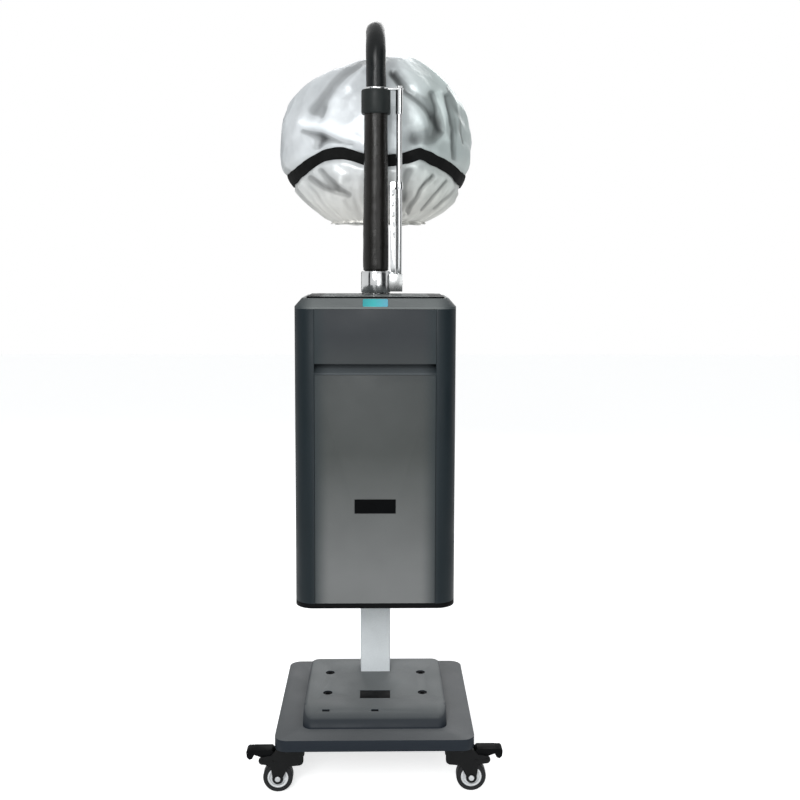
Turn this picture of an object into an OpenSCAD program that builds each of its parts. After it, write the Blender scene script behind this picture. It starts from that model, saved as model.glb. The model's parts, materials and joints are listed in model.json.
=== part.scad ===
// Free-standing hair steamer: a cabinet on a wheeled base, a swivelling mast that
// lifts, and an insulated arch that carries warm mist into a gathered film hood.
// The origin is on the floor under the centre of the base, and the control side faces -Y.

/* [Base] */
// Width of the base, left to right
base_w = 400; // [370:5:480]
// Depth of the base, front to back
base_d = 400; // [390:5:480]
// Corner radius of the base cover, seen from above
base_r = 25; // [10:1:40]
// Height of the flat skirt of the base cover
skirt_h = 23; // [21:1:32]
// Sheet thickness of the base cover
cover_t = 3; // [2:0.5:4]
// Width of the raised pad on the base cover
pad_w = 295; // [260:5:330]
// Depth of the raised pad on the base cover
pad_d = 300; // [280:5:340]
// Height of the raised pad above the skirt
pad_h = 28; // [16:1:36]
// Run of the pad's rounded front
pad_slope = 60; // [40:1:70]
// Thickness of the steel plate under the cover
plate_t = 4; // [3:0.5:6]
// Thickness of the counterweight slab
weight_t = 15; // [6:0.5:15]
// Radius of the round plugs in the pad
plug_r = 10; // [6:0.5:12]
// Distance of the outer plugs from the middle of the pad
plug_x = 101; // [70:1:110]
// Width of the rectangular blanking plug
blank_w = 64; // [40:1:80]
// Depth of the rectangular blanking plug
blank_d = 39; // [20:1:45]

/* [Column] */
// Width of the column
column_w = 66; // [50:1:80]
// Depth of the column
column_d = 50; // [40:1:60]
// Wall thickness of the column
column_wall = 2.5; // [1.5:0.5:4]
// Distance of the column's centre behind the middle of the base
column_y = 98; // [80:1:110]
// Clear height of the column between the pad and the cabinet
column_gap = 206; // [120:1:300]
// Thickness of the column's end flanges
flange_t = 5; // [4:0.5:8]

/* [Casters] */
// Diameter of each caster wheel
wheel_dia = 60; // [50:1:66]
// Width of each caster wheel
wheel_w = 24; // [18:1:28]
// Radius of the wheel's moulded core
core_r = 21; // [17:0.5:23]
// Height from the floor to the underside of the base
caster_h = 97; // [94:1:115]
// Distance from the swivel axis to the wheel axle
caster_trail = 30; // [24:1:34]
// Distance of each swivel axis in from the side edge of the base
caster_side = 35; // [30:1:50]
// Distance of each swivel axis in from the front or rear edge of the base
caster_end = 38; // [30:1:50]
// Radius of each kingpin
kingpin_r = 5; // [4:0.5:7]
// Radius of each wheel axle
axle_r = 4; // [3:0.5:5]
// Thickness of each fork's side plates
fork_t = 3; // [2:0.5:4]
// Reach of the brake pedals beyond the swivel axis
pedal_reach = 93; // [80:1:100]
// Travel of the brake pedals in degrees
pedal_travel = 8; // [4:1:8]

/* [Cabinet] */
// Width of the cabinet
cab_w = 330; // [310:5:380]
// Depth of the cabinet
cab_d = 235; // [220:5:260]
// Distance of the cabinet's front face from the middle of the base
cab_front = 100; // [90:1:105]
// Height of the cabinet's side walls
cab_h = 607; // [560:1:700]
// Radius of the cabinet's front corners
cab_r = 38; // [20:1:40]
// Radius of the cabinet's rear corners
cab_rear_r = 20; // [10:1:30]
// Thickness of the cabinet's walls
cab_t = 3; // [2:0.5:4]
// Height of the dark tray that closes the cabinet's bottom
tray_h = 10; // [9:1:16]
// Height of the finger groove between the two front panels
groove_h = 19; // [16:1:30]
// Depth of the finger groove
groove_d = 22; // [18:1:30]
// Height of the drawer's front panel
drawer_h = 110; // [100:1:130]
// Travel of the tank drawer
drawer_travel = 100; // [60:1:100]
// Height of the top cover
top_h = 21; // [18:1:30]
// Width of the chamfer round the top cover
top_chamfer = 15; // [12:1:16]
// Depth of the recess in the top cover
top_recess = 5; // [5:1:9]
// Width of the rim round the recess
top_rim = 8; // [8:1:20]
// Width of the lit window on the front chamfer
window_w = 51; // [30:1:80]
// Thickness of the control glass, which stands proud of the rim
glass_t = 8; // [5:0.5:8.5]

/* [Water tank] */
// Width of the water tank
tank_w = 206; // [150:2:220]
// Depth of the water tank
tank_d = 136; // [110:1:140]
// Height of the water tank
tank_h = 82; // [60:1:84]
// Wall thickness of the water tank
tank_wall = 2.5; // [2:0.5:4]

/* [Mast] */
// Distance of the mast's axis behind the middle of the base
mast_y = 90; // [85:1:95]
// Radius of the chrome collar
collar_r = 32; // [30:0.5:36]
// Height of the chrome collar
collar_h = 46; // [36:1:60]
// Outer radius of the riser pipe
pipe_r = 22; // [20:0.5:23]
// Wall thickness of the riser pipe
pipe_wall = 2; // [1.5:0.5:3]
// Length of the insulated riser sleeve
sleeve_l = 337; // [300:1:420]
// Outer radius of the riser sleeve at its foot
sleeve_foot_r = 28; // [26:0.5:30]
// Outer radius of the riser sleeve at its top
sleeve_top_r = 25.5; // [25:0.5:28]
// Radius of the cap at the top of the riser
cap_r = 31.5; // [30:0.5:36]
// Height of the cap at the top of the riser
cap_h = 51; // [40:1:70]
// Radius of the lift rod beside the riser
rod_r = 6.5; // [5:0.5:8]
// Clear distance between the collar and the lift rod
rod_gap = 12; // [12:0.5:20]
// Number of height holes in the guide strip
hole_count = 5; // [3:1:7]
// Distance between the height holes
hole_pitch = 23; // [15:1:26]
// Travel of the mast's lift
lift_travel = 120; // [60:1:150]
// Swing of the mast to each side, in degrees
swing = 90; // [45:5:120]

/* [Arch and hood] */
// Outer radius of the insulated arch duct
duct_out_r = 21.5; // [18:0.5:22]
// Wall thickness of the insulated arch duct
duct_wall = 5; // [3:0.5:7]
// Bend radius of the duct above the riser
bend_near = 80; // [60:1:90]
// Bend radius of the duct above the hood
bend_far = 30; // [28:1:70]
// Height of the duct's straight start above the bracket
duct_rise = 55; // [20:1:80]
// Distance from the mast's axis to the hood's axis
hood_reach = 240; // [225:1:280]
// Largest width of the hood
hood_w = 456; // [380:2:480]
// Largest depth of the hood
hood_d = 370; // [320:2:380]
// Height of the hood's dome above its widest ring
dome_h = 222; // [200:1:260]
// Height of the hood's gathered skirt below its widest ring
gather_h = 160; // [140:1:200]
// Width of the hood's neck opening
neck_w = 196; // [170:1:240]
// Thickness of the hood's padded film
film_t = 3; // [2.5:0.5:5]
// Number of gathered folds round the hood
fold_count = 22; // [16:1:24]
// Height of the folds at the neck
fold_h = 7; // [2:0.5:8]
// Width of the elastic band round the hood
band_w = 26; // [16:1:34]
// Thickness of the elastic band
band_t = 2.5; // [1.5:0.5:4]

/* [Fits] */
// Radial play of a part that turns or slides on another
running = 0.05; // [0.02:0.01:0.1]
// Gap between panels that meet edge to edge
seam = 0.6; // [0.3:0.1:1.5]
// Gap between moving faces that pass each other
pass_gap = 0.5; // [0.3:0.1:1]
// Play of a bolt in its hole
bolt_play = 0.3; // [0.2:0.1:0.6]

/* [Hidden] */
$fn = 48;
smooth = 96;
hull_fn = 32;

// Heights above the floor
skirt_top = caster_h + skirt_h;
pad_top = skirt_top + pad_h;
plate_top = caster_h + plate_t;
cab_z = pad_top + column_gap;
shell_z = cab_z + tray_h;
shell_top = shell_z + cab_h;
top_z = shell_top + top_h;
drawer_z = shell_top - seam - drawer_h;
panel_top = drawer_z - groove_h;
deck_z = top_z - top_recess;

// Places across the cabinet
cab_y = cab_d / 2 - cab_front;
cab_back = cab_d - cab_front;
front_w = cab_w - 2 * cab_r - 8;
in_w = cab_w - 2 * cab_t;

// Caster places, and caster pieces measured from the swivel axis and the floor
caster_x = base_w / 2 - caster_side;
caster_y = base_d / 2 - caster_end;
wheel_r = wheel_dia / 2;
swivel_plate = 60;
swivel_plate_t = 3;
race_r = 22;
race_t = 5;
web_t = 4.5;
web_top = caster_h - swivel_plate_t - race_t - running * 6;
web_z = web_top - web_t;
kingpin_head_t = 4;
fork_in = wheel_w / 2 + 1.5;
fork_out = fork_in + fork_t;
fork_end_r = 11;
rivet_r = 3;
hub_r = rivet_r + 3.5;
pivot_lead = 10;
pivot_x = caster_trail + pivot_lead;
shoe_gap = 0.8;
pivot_z = wheel_r + sqrt(pow(wheel_r + hub_r + shoe_gap, 2) - pow(pivot_lead, 2));
stop_x = caster_trail + 30;
stop_z = pivot_z + 2;
pedal_top = web_top;
pedal_w = 2 * fork_in - 2 * pass_gap;

// Column ends
foot_w = column_w + 44;
foot_d = column_d + 44;
head_w = column_w + 84;
head_d = column_d + 30;
head_y = column_y - 14;
bolt_r = 4;
bolt_head_r = 6.5;
bolt_head_t = 5;

// Mast heights
flange_r = collar_r + 1;
flange_base = top_z - 3;
flange_top = flange_base + 6;
washer_t = 3;
stop_ring_r = flange_r - 4;
stop_pin_r = 2;
stop_play = 5;
collar_z = flange_top + washer_t + pass_gap / 2;
collar_top = collar_z + collar_h;
spigot_h = 34;
sleeve_z = collar_top + running * 6;
cap_z = sleeve_z + sleeve_l;
cap_top = cap_z + cap_h;
bracket_t = 4;
nut_h = 5;
bracket_top = cap_top + bracket_t;
cap_grip = 15;
rod_x = collar_r + rod_gap + rod_r;
rod_foot = collar_z + 3;
block_z = collar_z + 2;
block_h = collar_h - 8;
block_w = 2 * rod_r + 9;
knob_r = 9.5;
knob_z = block_z + block_h / 2;
strip_w = 11;
strip_t = 3;
strip_x = rod_x - rod_r - 1 - strip_w;
eye_h = 16;
strip_top = rod_foot + lift_travel + eye_h + 100;

// Arch and hood places
apex_z = bracket_top + duct_rise + bend_near;
hood_y = mast_y + hood_reach;
ring_t = 5;
ring_h = 14;
ring_z = apex_z - bend_far - ring_h;
duct_drop = ring_h + 20;
hood_mid = ring_z + ring_h - 1 - dome_h;
rim_r = duct_out_r + ring_t + 2.5;

// Colours
paint = "#5d5f60";
dark = "#1c1e21";
silver = "#c9ccce";

// Flat outlines

// A rounded rectangle, built from straight and round pieces only
module round_rect(w, d, r) {
    square([w - 2 * r, d], center = true);
    square([w, d - 2 * r], center = true);
    for (x = [-1, 1], y = [-1, 1])
        translate([x * (w / 2 - r), y * (d / 2 - r)])
            circle(r);
}

// The cabinet's outline, drawn in by inset, with its larger corners at the front
module cab_outline(inset) {
    w = cab_w - 2 * inset;
    d = cab_d - 2 * inset;
    rf = max(cab_r - inset, 1);
    rb = max(cab_rear_r - inset, 1);
    translate([0, cab_y]) {
        square([w - 2 * rf, d], center = true);
        translate([-w / 2, -d / 2 + rf])
            square([w, d - rf - rb]);
        translate([-w / 2 + rb, 0])
            square([w - 2 * rb, d / 2]);
        for (x = [-1, 1]) {
            translate([x * (w / 2 - rf), -d / 2 + rf])
                circle(rf, $fn = smooth);
            translate([x * (w / 2 - rb), d / 2 - rb])
                circle(rb);
        }
    }
}

module cab_slab(inset, z, h) {
    translate([0, 0, z])
        linear_extrude(h)
            cab_outline(inset);
}

module box(w, d, h) {
    translate([-w / 2, -d / 2, 0])
        cube([w, d, h]);
}

module tube(r, wall, h) {
    difference() {
        cylinder(r = r, h = h, $fn = smooth);
        translate([0, 0, -1])
            cylinder(r = r - wall, h = h + 2, $fn = smooth);
    }
}

// Base

pad_corner = 20;
pad_edge = 6;
pad_steps = 7;

// The raised pad as a solid; grow is negative for the hollow under it. Its front rises
// as a quarter of an ellipse.
module pad_solid(grow) {
    r = pad_corner + grow;
    w = pad_w / 2 - pad_corner;
    back = pad_d / 2 - pad_corner;
    run = pad_slope - pad_edge;
    h = pad_h + grow;
    drop = grow == 0 ? 1 : skirt_h;
    hull() {
        for (x = [-w, w]) {
            translate([x, back, skirt_top - drop])
                cylinder(r = r, h = drop + h - pad_edge, $fn = hull_fn);
            translate([x, back, skirt_top + h - pad_edge])
                edge_ring(r, pad_edge);
            translate([x, -back, skirt_top - drop])
                cylinder(r = r, h = drop + 1, $fn = hull_fn);
            for (i = [1 : pad_steps])
                let(a = 90 * i / pad_steps)
                translate([x, -back + run * (1 - cos(a)), skirt_top + h * sin(a) - 2])
                    cylinder(r1 = r, r2 = r - pad_edge * sin(a), h = 2, $fn = hull_fn);
        }
    }
}

module edge_ring(r, edge) {
    rotate_extrude($fn = hull_fn)
        translate([r - edge, 0])
            circle(edge, $fn = 16);
}

plug_places = [[-plug_x, 67], [plug_x, 67], [-plug_x, -39], [plug_x, -39]];
slot_w = 15;
slot_d = 6;
slot_y = -pad_d / 2 + pad_slope * 0.55;
slot_places = [[-plug_x, slot_y], [0, slot_y]];
blank_y = -48;
plug_sink = 1.5;

// Height of the pad's rounded front at depth y
function pad_height(y) = skirt_top + pad_h * sqrt(1 - pow(1 - (y + pad_d / 2) / pad_slope, 2));

module base_cover() {
    color(paint)
        difference() {
            union() {
                translate([0, 0, caster_h])
                    linear_extrude(skirt_h)
                        round_rect(base_w, base_d, base_r);
                pad_solid(0);
            }
            translate([0, 0, caster_h - 1])
                linear_extrude(skirt_h + 1 - cover_t)
                    round_rect(base_w - 2 * cover_t, base_d - 2 * cover_t, base_r - cover_t);
            pad_solid(-cover_t);
            translate([0, column_y, caster_h])
                box(column_w + 2 * seam, column_d + 2 * seam, skirt_h + pad_h + 1);
            for (p = plug_places)
                translate([p[0], p[1], skirt_top])
                    cylinder(r = plug_r, h = pad_h + 1);
            for (p = slot_places)
                translate([p[0], p[1], skirt_top])
                    box(slot_w, slot_d, pad_h + 1);
            translate([0, blank_y, skirt_top])
                box(blank_w, blank_d, pad_h + 1);
        }
}

module base_plate() {
    gap = 2 * (cover_t + seam);
    color(dark)
        difference() {
            translate([0, 0, caster_h])
                linear_extrude(plate_t)
                    round_rect(base_w - gap, base_d - gap, base_r - gap / 2);
            foot_bolts()
                translate([0, 0, caster_h - 1])
                    cylinder(r = bolt_r + bolt_play, h = plate_t + 2);
        }
}

module counterweight() {
    color(dark)
        difference() {
            translate([-pad_w / 2 + 15, -pad_d / 2 + 30, plate_top])
                cube([pad_w - 30, pad_d - 45, weight_t]);
            translate([0, column_y, plate_top - 1])
                box(foot_w + 4, foot_d + 4, weight_t + 2);
        }
}

module pad_plugs() {
    stem_h = 9;
    color(dark) {
        for (p = plug_places)
            translate([p[0], p[1], pad_top - plug_sink - stem_h])
                difference() {
                    cylinder(r = plug_r - running, h = stem_h);
                    translate([0, 0, stem_h - 2.5])
                        cylinder(r = plug_r * 0.45, h = 3);
                }
        for (p = slot_places)
            translate([p[0], p[1], pad_height(p[1]) - plug_sink - stem_h])
                box(slot_w - 2 * running, slot_d - 2 * running, stem_h);
        translate([0, blank_y, pad_top - cover_t])
            box(blank_w - 2 * running, blank_d - 2 * running, cover_t - 0.5);
        translate([0, blank_y, pad_top - cover_t - 2])
            box(blank_w + 8, blank_d + 8, 2);
    }
}

// Repeats its children at the four bolts of the column's foot
module foot_bolts() {
    for (x = [-1, 1], y = [-1, 1])
        translate([x * (foot_w / 2 - 11), column_y + y * (foot_d / 2 - 11), 0])
            children();
}

// Repeats its children at the four bolts of the column's head
module head_bolts() {
    for (x = [-1, 1], y = [-1, 1])
        translate([x * (head_w / 2 - 14), head_y + y * (head_d / 2 - 10), 0])
            children();
}

module column() {
    color(silver)
        difference() {
            union() {
                translate([0, column_y, plate_top])
                    box(foot_w, foot_d, flange_t);
                translate([0, head_y, cab_z])
                    box(head_w, head_d, flange_t);
                translate([0, column_y, plate_top])
                    linear_extrude(cab_z - plate_top)
                        round_rect(column_w, column_d, 4);
            }
            translate([0, column_y, plate_top - 1])
                linear_extrude(cab_z - plate_top + flange_t + 2)
                    round_rect(column_w - 2 * column_wall, column_d - 2 * column_wall, 2);
            foot_bolts()
                translate([0, 0, plate_top - 1])
                    cylinder(r = bolt_r + bolt_play, h = flange_t + 2);
            head_bolts()
                translate([0, 0, cab_z - 1])
                    cylinder(r = bolt_r + bolt_play, h = flange_t + 2);
        }
}

module bolt(grip) {
    cylinder(r = bolt_r, h = grip + bolt_head_t);
    translate([0, 0, grip])
        cylinder(r = bolt_head_r, h = bolt_head_t, $fn = 6);
}

module column_bolts() {
    color(silver) {
        foot_bolts()
            translate([0, 0, caster_h])
                bolt(plate_t + flange_t);
        head_bolts()
            translate([0, 0, cab_z])
                bolt(flange_t + tray_floor);
    }
}

// Casters. Each is drawn with its swivel axis on Z and its wheel trailing towards +X.

function caster_turn(front, side) = front ? (side < 0 ? 180 : 0) : 90;

module at_caster(front, side) {
    translate([side * caster_x, front ? -caster_y : caster_y, 0])
        rotate([0, 0, caster_turn(front, side)])
            children();
}

module across(x, z, r, l) {
    translate([x, l / 2, z])
        rotate([90, 0, 0])
            cylinder(r = r, h = l);
}

module caster_plate() {
    head_z = web_z - running * 6 - kingpin_head_t;
    translate([0, 0, caster_h - swivel_plate_t])
        linear_extrude(swivel_plate_t)
            round_rect(swivel_plate, swivel_plate, 6);
    translate([0, 0, caster_h - swivel_plate_t - race_t])
        cylinder(r = race_r, h = race_t);
    translate([0, 0, head_z])
        cylinder(r = kingpin_r, h = caster_h - swivel_plate_t - head_z);
    translate([0, 0, head_z])
        cylinder(r = kingpin_r + 3.5, h = kingpin_head_t);
}

module caster_plates() {
    color(dark)
        for (front = [true, false], side = [-1, 1])
            at_caster(front, side)
                caster_plate();
}

// Outline of a fork's side plate in the plane of its wheel
module fork_outline(brake) {
    lobe_r = 10;
    lobe_x = -race_r + lobe_r;
    lobe_z = web_top - 21;
    translate([lobe_x, lobe_z])
        circle(lobe_r);
    translate([caster_trail, wheel_r])
        circle(fork_end_r);
    polygon([
        [-race_r, lobe_z], [lobe_x, lobe_z - lobe_r], [8, lobe_z - lobe_r - 2],
        [caster_trail - fork_end_r + 0.5, wheel_r + 3],
        [caster_trail + fork_end_r - 0.5, wheel_r + 3],
        [pivot_x + 4, lobe_z - lobe_r - 1], [pivot_x + 4, web_top - 12],
        [caster_trail + 4, web_top], [-race_r, web_top]
    ]);
    if (brake) {
        translate([stop_x, stop_z])
            circle(8);
        polygon([
            [pivot_x - 4, lobe_z - lobe_r - 1], [stop_x + 3, stop_z - 8 + 0.6],
            [stop_x + 4, stop_z + 6.9], [pivot_x, pivot_z + 13]
        ]);
    }
}

module fork(brake) {
    web_end = caster_trail + 4;
    difference() {
        union() {
            translate([0, 0, web_z]) {
                cylinder(r = race_r, h = web_t);
                translate([0, -fork_out, 0])
                    cube([web_end, 2 * fork_out, web_t]);
            }
            for (y = [fork_out, -fork_in])
                translate([0, y, 0])
                    rotate([90, 0, 0])
                        linear_extrude(fork_t)
                            fork_outline(brake);
            if (brake) {
                across(pivot_x, pivot_z, rivet_r, 2 * fork_out + 3);
                across(stop_x, stop_z, rivet_r, 2 * fork_out + 3);
            }
        }
        translate([0, 0, web_z - 1])
            cylinder(r = kingpin_r + running, h = web_t + 2);
        across(caster_trail, wheel_r, axle_r + running, 2 * fork_out + 4);
    }
}

// Half outline of the wheel's core: hub, web and rim round a bore
module core_outline() {
    half = wheel_w / 2;
    bore = axle_r + running;
    hub = axle_r + 4;
    rim = core_r - 4;
    translate([bore, -half - 1])
        square([hub - bore, 2 * half + 2]);
    translate([hub - 1, -half / 2])
        square([rim - hub + 2, half]);
    translate([rim, -half + 1])
        square([core_r - rim, 2 * half - 2]);
}

module wheel() {
    translate([caster_trail, 0, wheel_r])
        rotate([90, 0, 0])
            rotate_extrude($fn = smooth)
                core_outline();
}

// Half outline of the tyre, with rounded shoulders
module tyre_outline() {
    half = wheel_w / 2;
    seat = core_r + running;
    shoulder = min(4, (wheel_r - seat) * 0.45);
    translate([seat, -half])
        square([wheel_r - shoulder - seat, 2 * half]);
    translate([seat, -half + shoulder])
        square([wheel_r - seat, 2 * (half - shoulder)]);
    for (y = [-1, 1])
        translate([wheel_r - shoulder, y * (half - shoulder)])
            circle(shoulder);
}

module tyre() {
    translate([caster_trail, 0, wheel_r])
        rotate([90, 0, 0])
            rotate_extrude($fn = smooth)
                tyre_outline();
}

module axle() {
    head_t = 2;
    across(caster_trail, wheel_r, axle_r, 2 * fork_out);
    for (y = [-fork_out - head_t, fork_out])
        translate([caster_trail, y + head_t, wheel_r])
            rotate([90, 0, 0])
                cylinder(r = axle_r + 1.5, h = head_t);
}

// Outline of a brake pedal: shoe over the tyre, arm and foot pad
module pedal_outline() {
    arm_low = stop_z + rivet_r + (stop_x - pivot_x) * sin(pedal_travel) + 0.6;
    polygon([
        [pivot_x - 4, pivot_z + 3], [pivot_x - 2, pedal_top - 4], [pivot_x + 2, pedal_top],
        [pedal_reach - 4, pedal_top], [pedal_reach, pedal_top - 4],
        [pedal_reach - 1, pedal_top - 15], [pedal_reach - 6, pedal_top - 20],
        [pedal_reach - 12, pedal_top - 18], [pedal_reach - 16, pedal_top - 10],
        [stop_x + 5, arm_low], [pivot_x + 13.5, arm_low], [pivot_x + 12, pivot_z - 11.3],
        [pivot_x + 6, pivot_z - 7.8], [pivot_x + 1, pivot_z - 5.5], [pivot_x - 4, pivot_z - 2]
    ]);
}

module pedal() {
    difference() {
        union() {
            translate([0, pedal_w / 2, 0])
                rotate([90, 0, 0])
                    linear_extrude(pedal_w)
                        pedal_outline();
            across(pivot_x, pivot_z, hub_r, pedal_w);
        }
        across(pivot_x, pivot_z, rivet_r + running, pedal_w + 2);
        for (i = [0 : 3])
            translate([pedal_reach - 14 + i * 3, -pedal_w / 2 - 1, pedal_top - 0.8])
                cube([1.4, pedal_w + 2, 1]);
    }
}

module fork_at(front, side) {
    color(dark)
        at_caster(front, side)
            fork(front);
}

module wheel_at(front, side) {
    color("#d8dadb")
        at_caster(front, side)
            wheel();
}

module tyre_at(front, side) {
    color(dark)
        at_caster(front, side)
            tyre();
}

module axle_at(front, side) {
    color(silver)
        at_caster(front, side)
            axle();
}

module pedal_at(side) {
    color(dark)
        at_caster(true, side)
            pedal();
}

// Cabinet

tray_floor = tray_h - flange_t;
rail_inset = 24;
vent_rows = 9;
vent_w = 92;
vent_h = 4;
vent_pitch = 10;
screw_r = 3.5;
badge_w = 83;
badge_h = 28;
badge_t = 1;
badge_z = shell_z + 204;
inlet_x = -70;
inlet_z = shell_z + 52;
inlet_w = 62;
inlet_h = 34;
nozzle_x = 90;
nozzle_r = 5;
nozzle_l = 20;
rear_open_w = cab_w - 2 * cab_rear_r - 22;
rear_panel_w = rear_open_w + 18;
rear_t = 2;
back_in = cab_back - cab_t;
chassis_t = 2;
chassis_w = 250;
chassis_y = back_in - 11;
shelf_low = shell_z + 200;
shelf_high = shell_z + 350;
duct_r = 20;
heater_x = 62;

module cabinet_tray() {
    // The lip inside the shell leaves out the front opening
    lip_room = seam + cab_t + 1;
    color(dark)
        difference() {
            union() {
                cab_slab(0, cab_z, tray_h);
                cab_slab(cab_t + 0.3, shell_z, 9);
            }
            cab_slab(cab_t + 3.3, shell_z, 10);
            cab_slab(5, cab_z - 1, flange_t + 1);
            translate([-front_w / 2 - lip_room, -cab_front, shell_z])
                cube([front_w + 2 * lip_room, 17, 10]);
            head_bolts()
                translate([0, 0, cab_z])
                    cylinder(r = bolt_r + bolt_play, h = tray_h + 1);
            translate([0, column_y, cab_z])
                box(column_w - 20, column_d - 20, tray_h + 1);
        }
}

// The scooped wall of the finger groove, in the plane across the cabinet
module groove_outline() {
    lip = -cab_front;
    back = lip + groove_d;
    pocket = drawer_z + 9;
    polygon([
        [lip, panel_top - 3], [lip, panel_top], [back - 4, panel_top + groove_h * 0.6],
        [back, panel_top + groove_h * 0.8], [back, pocket], [lip + 14, pocket],
        [lip + 14, pocket + 2], [back + 2, pocket + 2], [back + 2, panel_top + groove_h * 0.7],
        [back - 3, panel_top + groove_h * 0.4], [lip + 5, panel_top - 3]
    ]);
}

module cabinet_shell() {
    half = front_w / 2 + seam;
    color("#3b4145") {
        difference() {
            cab_slab(0, shell_z, cab_h);
            cab_slab(cab_t, shell_z - 1, cab_h + 2);
            translate([-half, -cab_front - 1, shell_z - 1])
                cube([2 * half, cab_t + 2, cab_h + 2]);
            translate([-rear_open_w / 2, back_in - 1, shell_z + rail_inset])
                cube([rear_open_w, cab_t + 2, cab_h - 2 * rail_inset]);
        }
        for (x = [-half - cab_t, half])
            translate([x, -cab_front + 1, shell_z])
                cube([cab_t, 15, cab_h]);
        for (z = [shell_z, shell_top - 12])
            translate([-half - 1, -cab_front + 13, z])
                cube([2 * half + 2, cab_t, 12]);
        translate([-half - 1, 0, 0])
            rotate([90, 0, 90])
                linear_extrude(2 * half + 2)
                    groove_outline();
    }
}

// A shallow pressed panel with folded edges, its face towards -Y
module pressed_panel(w, z, h, face_t, depth) {
    fold = 2;
    difference() {
        translate([-w / 2, -cab_front, z])
            cube([w, depth, h]);
        translate([-w / 2 + fold, -cab_front + face_t, z + fold])
            cube([w - 2 * fold, depth, h - 2 * fold]);
    }
}

module front_panel() {
    z = shell_z + seam;
    color(paint)
        pressed_panel(front_w, z, panel_top - 3 - seam - z, cab_t, 12);
    color(dark)
        translate([-badge_w / 2, -cab_front - badge_t, badge_z - badge_h / 2])
            cube([badge_w, badge_t + 1, badge_h]);
}

module vent_group(z) {
    for (i = [0 : vent_rows - 1], x = [-1, 1])
        translate([x * (vent_w / 2 + 10) - vent_w / 2, cab_back - 1, z + i * vent_pitch])
            cube([vent_w, rear_t + 2, vent_h]);
}

module rear_panel() {
    z = shell_z + rail_inset - 9;
    h = cab_h - 2 * rail_inset + 18;
    color("#3b4145") {
        for (x = [-1, 1], k = [0.02, 0.34, 0.66, 0.98])
            translate([x * (rear_panel_w / 2 - 6), back_face + 1.8, z + k * h])
                rotate([90, 0, 0])
                    cylinder(r1 = screw_r - 0.8, r2 = screw_r, h = 2, $fn = 20);
        difference() {
            translate([-rear_panel_w / 2, cab_back, z])
                cube([rear_panel_w, rear_t, h]);
            vent_group(shelf_low + 20);
            vent_group(shelf_low - 90);
            translate([inlet_x - inlet_w / 2, cab_back - 1, inlet_z - inlet_h / 2])
                cube([inlet_w, rear_t + 2, inlet_h]);
            translate([nozzle_x, cab_back + rear_t + 1, inlet_z])
                rotate([90, 0, 0])
                    cylinder(r = nozzle_r + 3 + running, h = rear_t + 2);
        }
    }
}

module chassis() {
    color("#8d9194")
        difference() {
            union() {
                translate([-chassis_w / 2, chassis_y, shell_z])
                    cube([chassis_w, chassis_t, shelf_high - shell_z + chassis_t]);
                for (z = [shelf_low, shelf_high])
                    translate([-chassis_w / 2, -60, z])
                        cube([chassis_w, chassis_y + 61, chassis_t]);
                for (x = [-chassis_w / 2, chassis_w / 2 - chassis_t], z = [shelf_low, shelf_high])
                    translate([x, -60, z - 12])
                        cube([chassis_t, chassis_y + 61, 13]);
                translate([-48, chassis_y - 40, shell_z])
                    cube([96, 41, chassis_t]);
            }
            translate([heater_x, 60, shelf_high - 1])
                cylinder(r = 17, h = chassis_t + 2);
            translate([inlet_x - inlet_w / 2 - 4, chassis_y - 1, inlet_z - inlet_h / 2 - 4])
                cube([inlet_w + 8, chassis_t + 2, inlet_h + 8]);
            translate([nozzle_x, chassis_y + chassis_t + 1, inlet_z])
                rotate([90, 0, 0])
                    cylinder(r = nozzle_r + 5, h = chassis_t + 2);
        }
}

// Top cover and controls

chamfer_h = top_h - 4;
chamfer_turn = atan2(chamfer_h, top_chamfer);
window_h = norm([chamfer_h, top_chamfer]) - 2.5;
window_corner = 3;
recess_inset = top_chamfer + top_rim;
boss_r = flange_r + 4;
deck_back = cab_back - top_chamfer;

// The recess in the top, open to the rear between its side rims
module recess_outline(gap) {
    w = cab_w - 2 * recess_inset - 22 - 2 * gap;
    cab_outline(recess_inset + gap);
    translate([-w / 2, cab_y])
        square([w, deck_back - cab_y + (gap > 0 ? -gap : top_chamfer + 1)]);
}

module on_chamfer(sink) {
    translate([0, -cab_front + top_chamfer / 2, top_z - chamfer_h / 2])
        rotate([chamfer_turn, 0, 0])
            translate([0, 0, -sink])
                children();
}

module window_outline(play) {
    round_rect(window_w + 2 * play, window_h + 2 * play, window_corner);
}

module top_cover() {
    color(paint)
        difference() {
            union() {
                difference() {
                    union() {
                        cab_slab(0, shell_top, top_h - chamfer_h);
                        hull() {
                            cab_slab(0, top_z - chamfer_h - 0.5, 0.5);
                            cab_slab(top_chamfer, top_z - 0.5, 0.5);
                        }
                    }
                    translate([0, 0, deck_z])
                        linear_extrude(top_recess + 1)
                            recess_outline(0);
                    cab_slab(top_chamfer - 2, shell_top - 1, deck_z - cab_t - shell_top + 1);
                }
                translate([0, mast_y, deck_z - cab_t])
                    cylinder(r = boss_r, h = flange_base - deck_z + cab_t, $fn = smooth);
            }
            translate([0, mast_y, shell_top - 1])
                cylinder(r = duct_r + 0.6, h = top_h + 2, $fn = smooth);
            on_chamfer(2.6)
                linear_extrude(10)
                    window_outline(0.2);
        }
}

module control_glass() {
    color("#7c8080")
        difference() {
            translate([0, 0, deck_z])
                linear_extrude(glass_t)
                    recess_outline(0.8);
            translate([0, mast_y, deck_z - 1])
                cylinder(r = boss_r + 0.8, h = glass_t + 2, $fn = smooth);
        }
}

module indicator_lens() {
    color("#46c8cd")
        on_chamfer(2.6)
            linear_extrude(3)
                window_outline(0);
}

// Tank drawer

tank_z = drawer_z + 12;
tank_front = -cab_front + 12;
rail_t = 3;
lug_y = tank_front + tank_d - 18;
lug_l = 6;
lug_t = 1.5;

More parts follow.
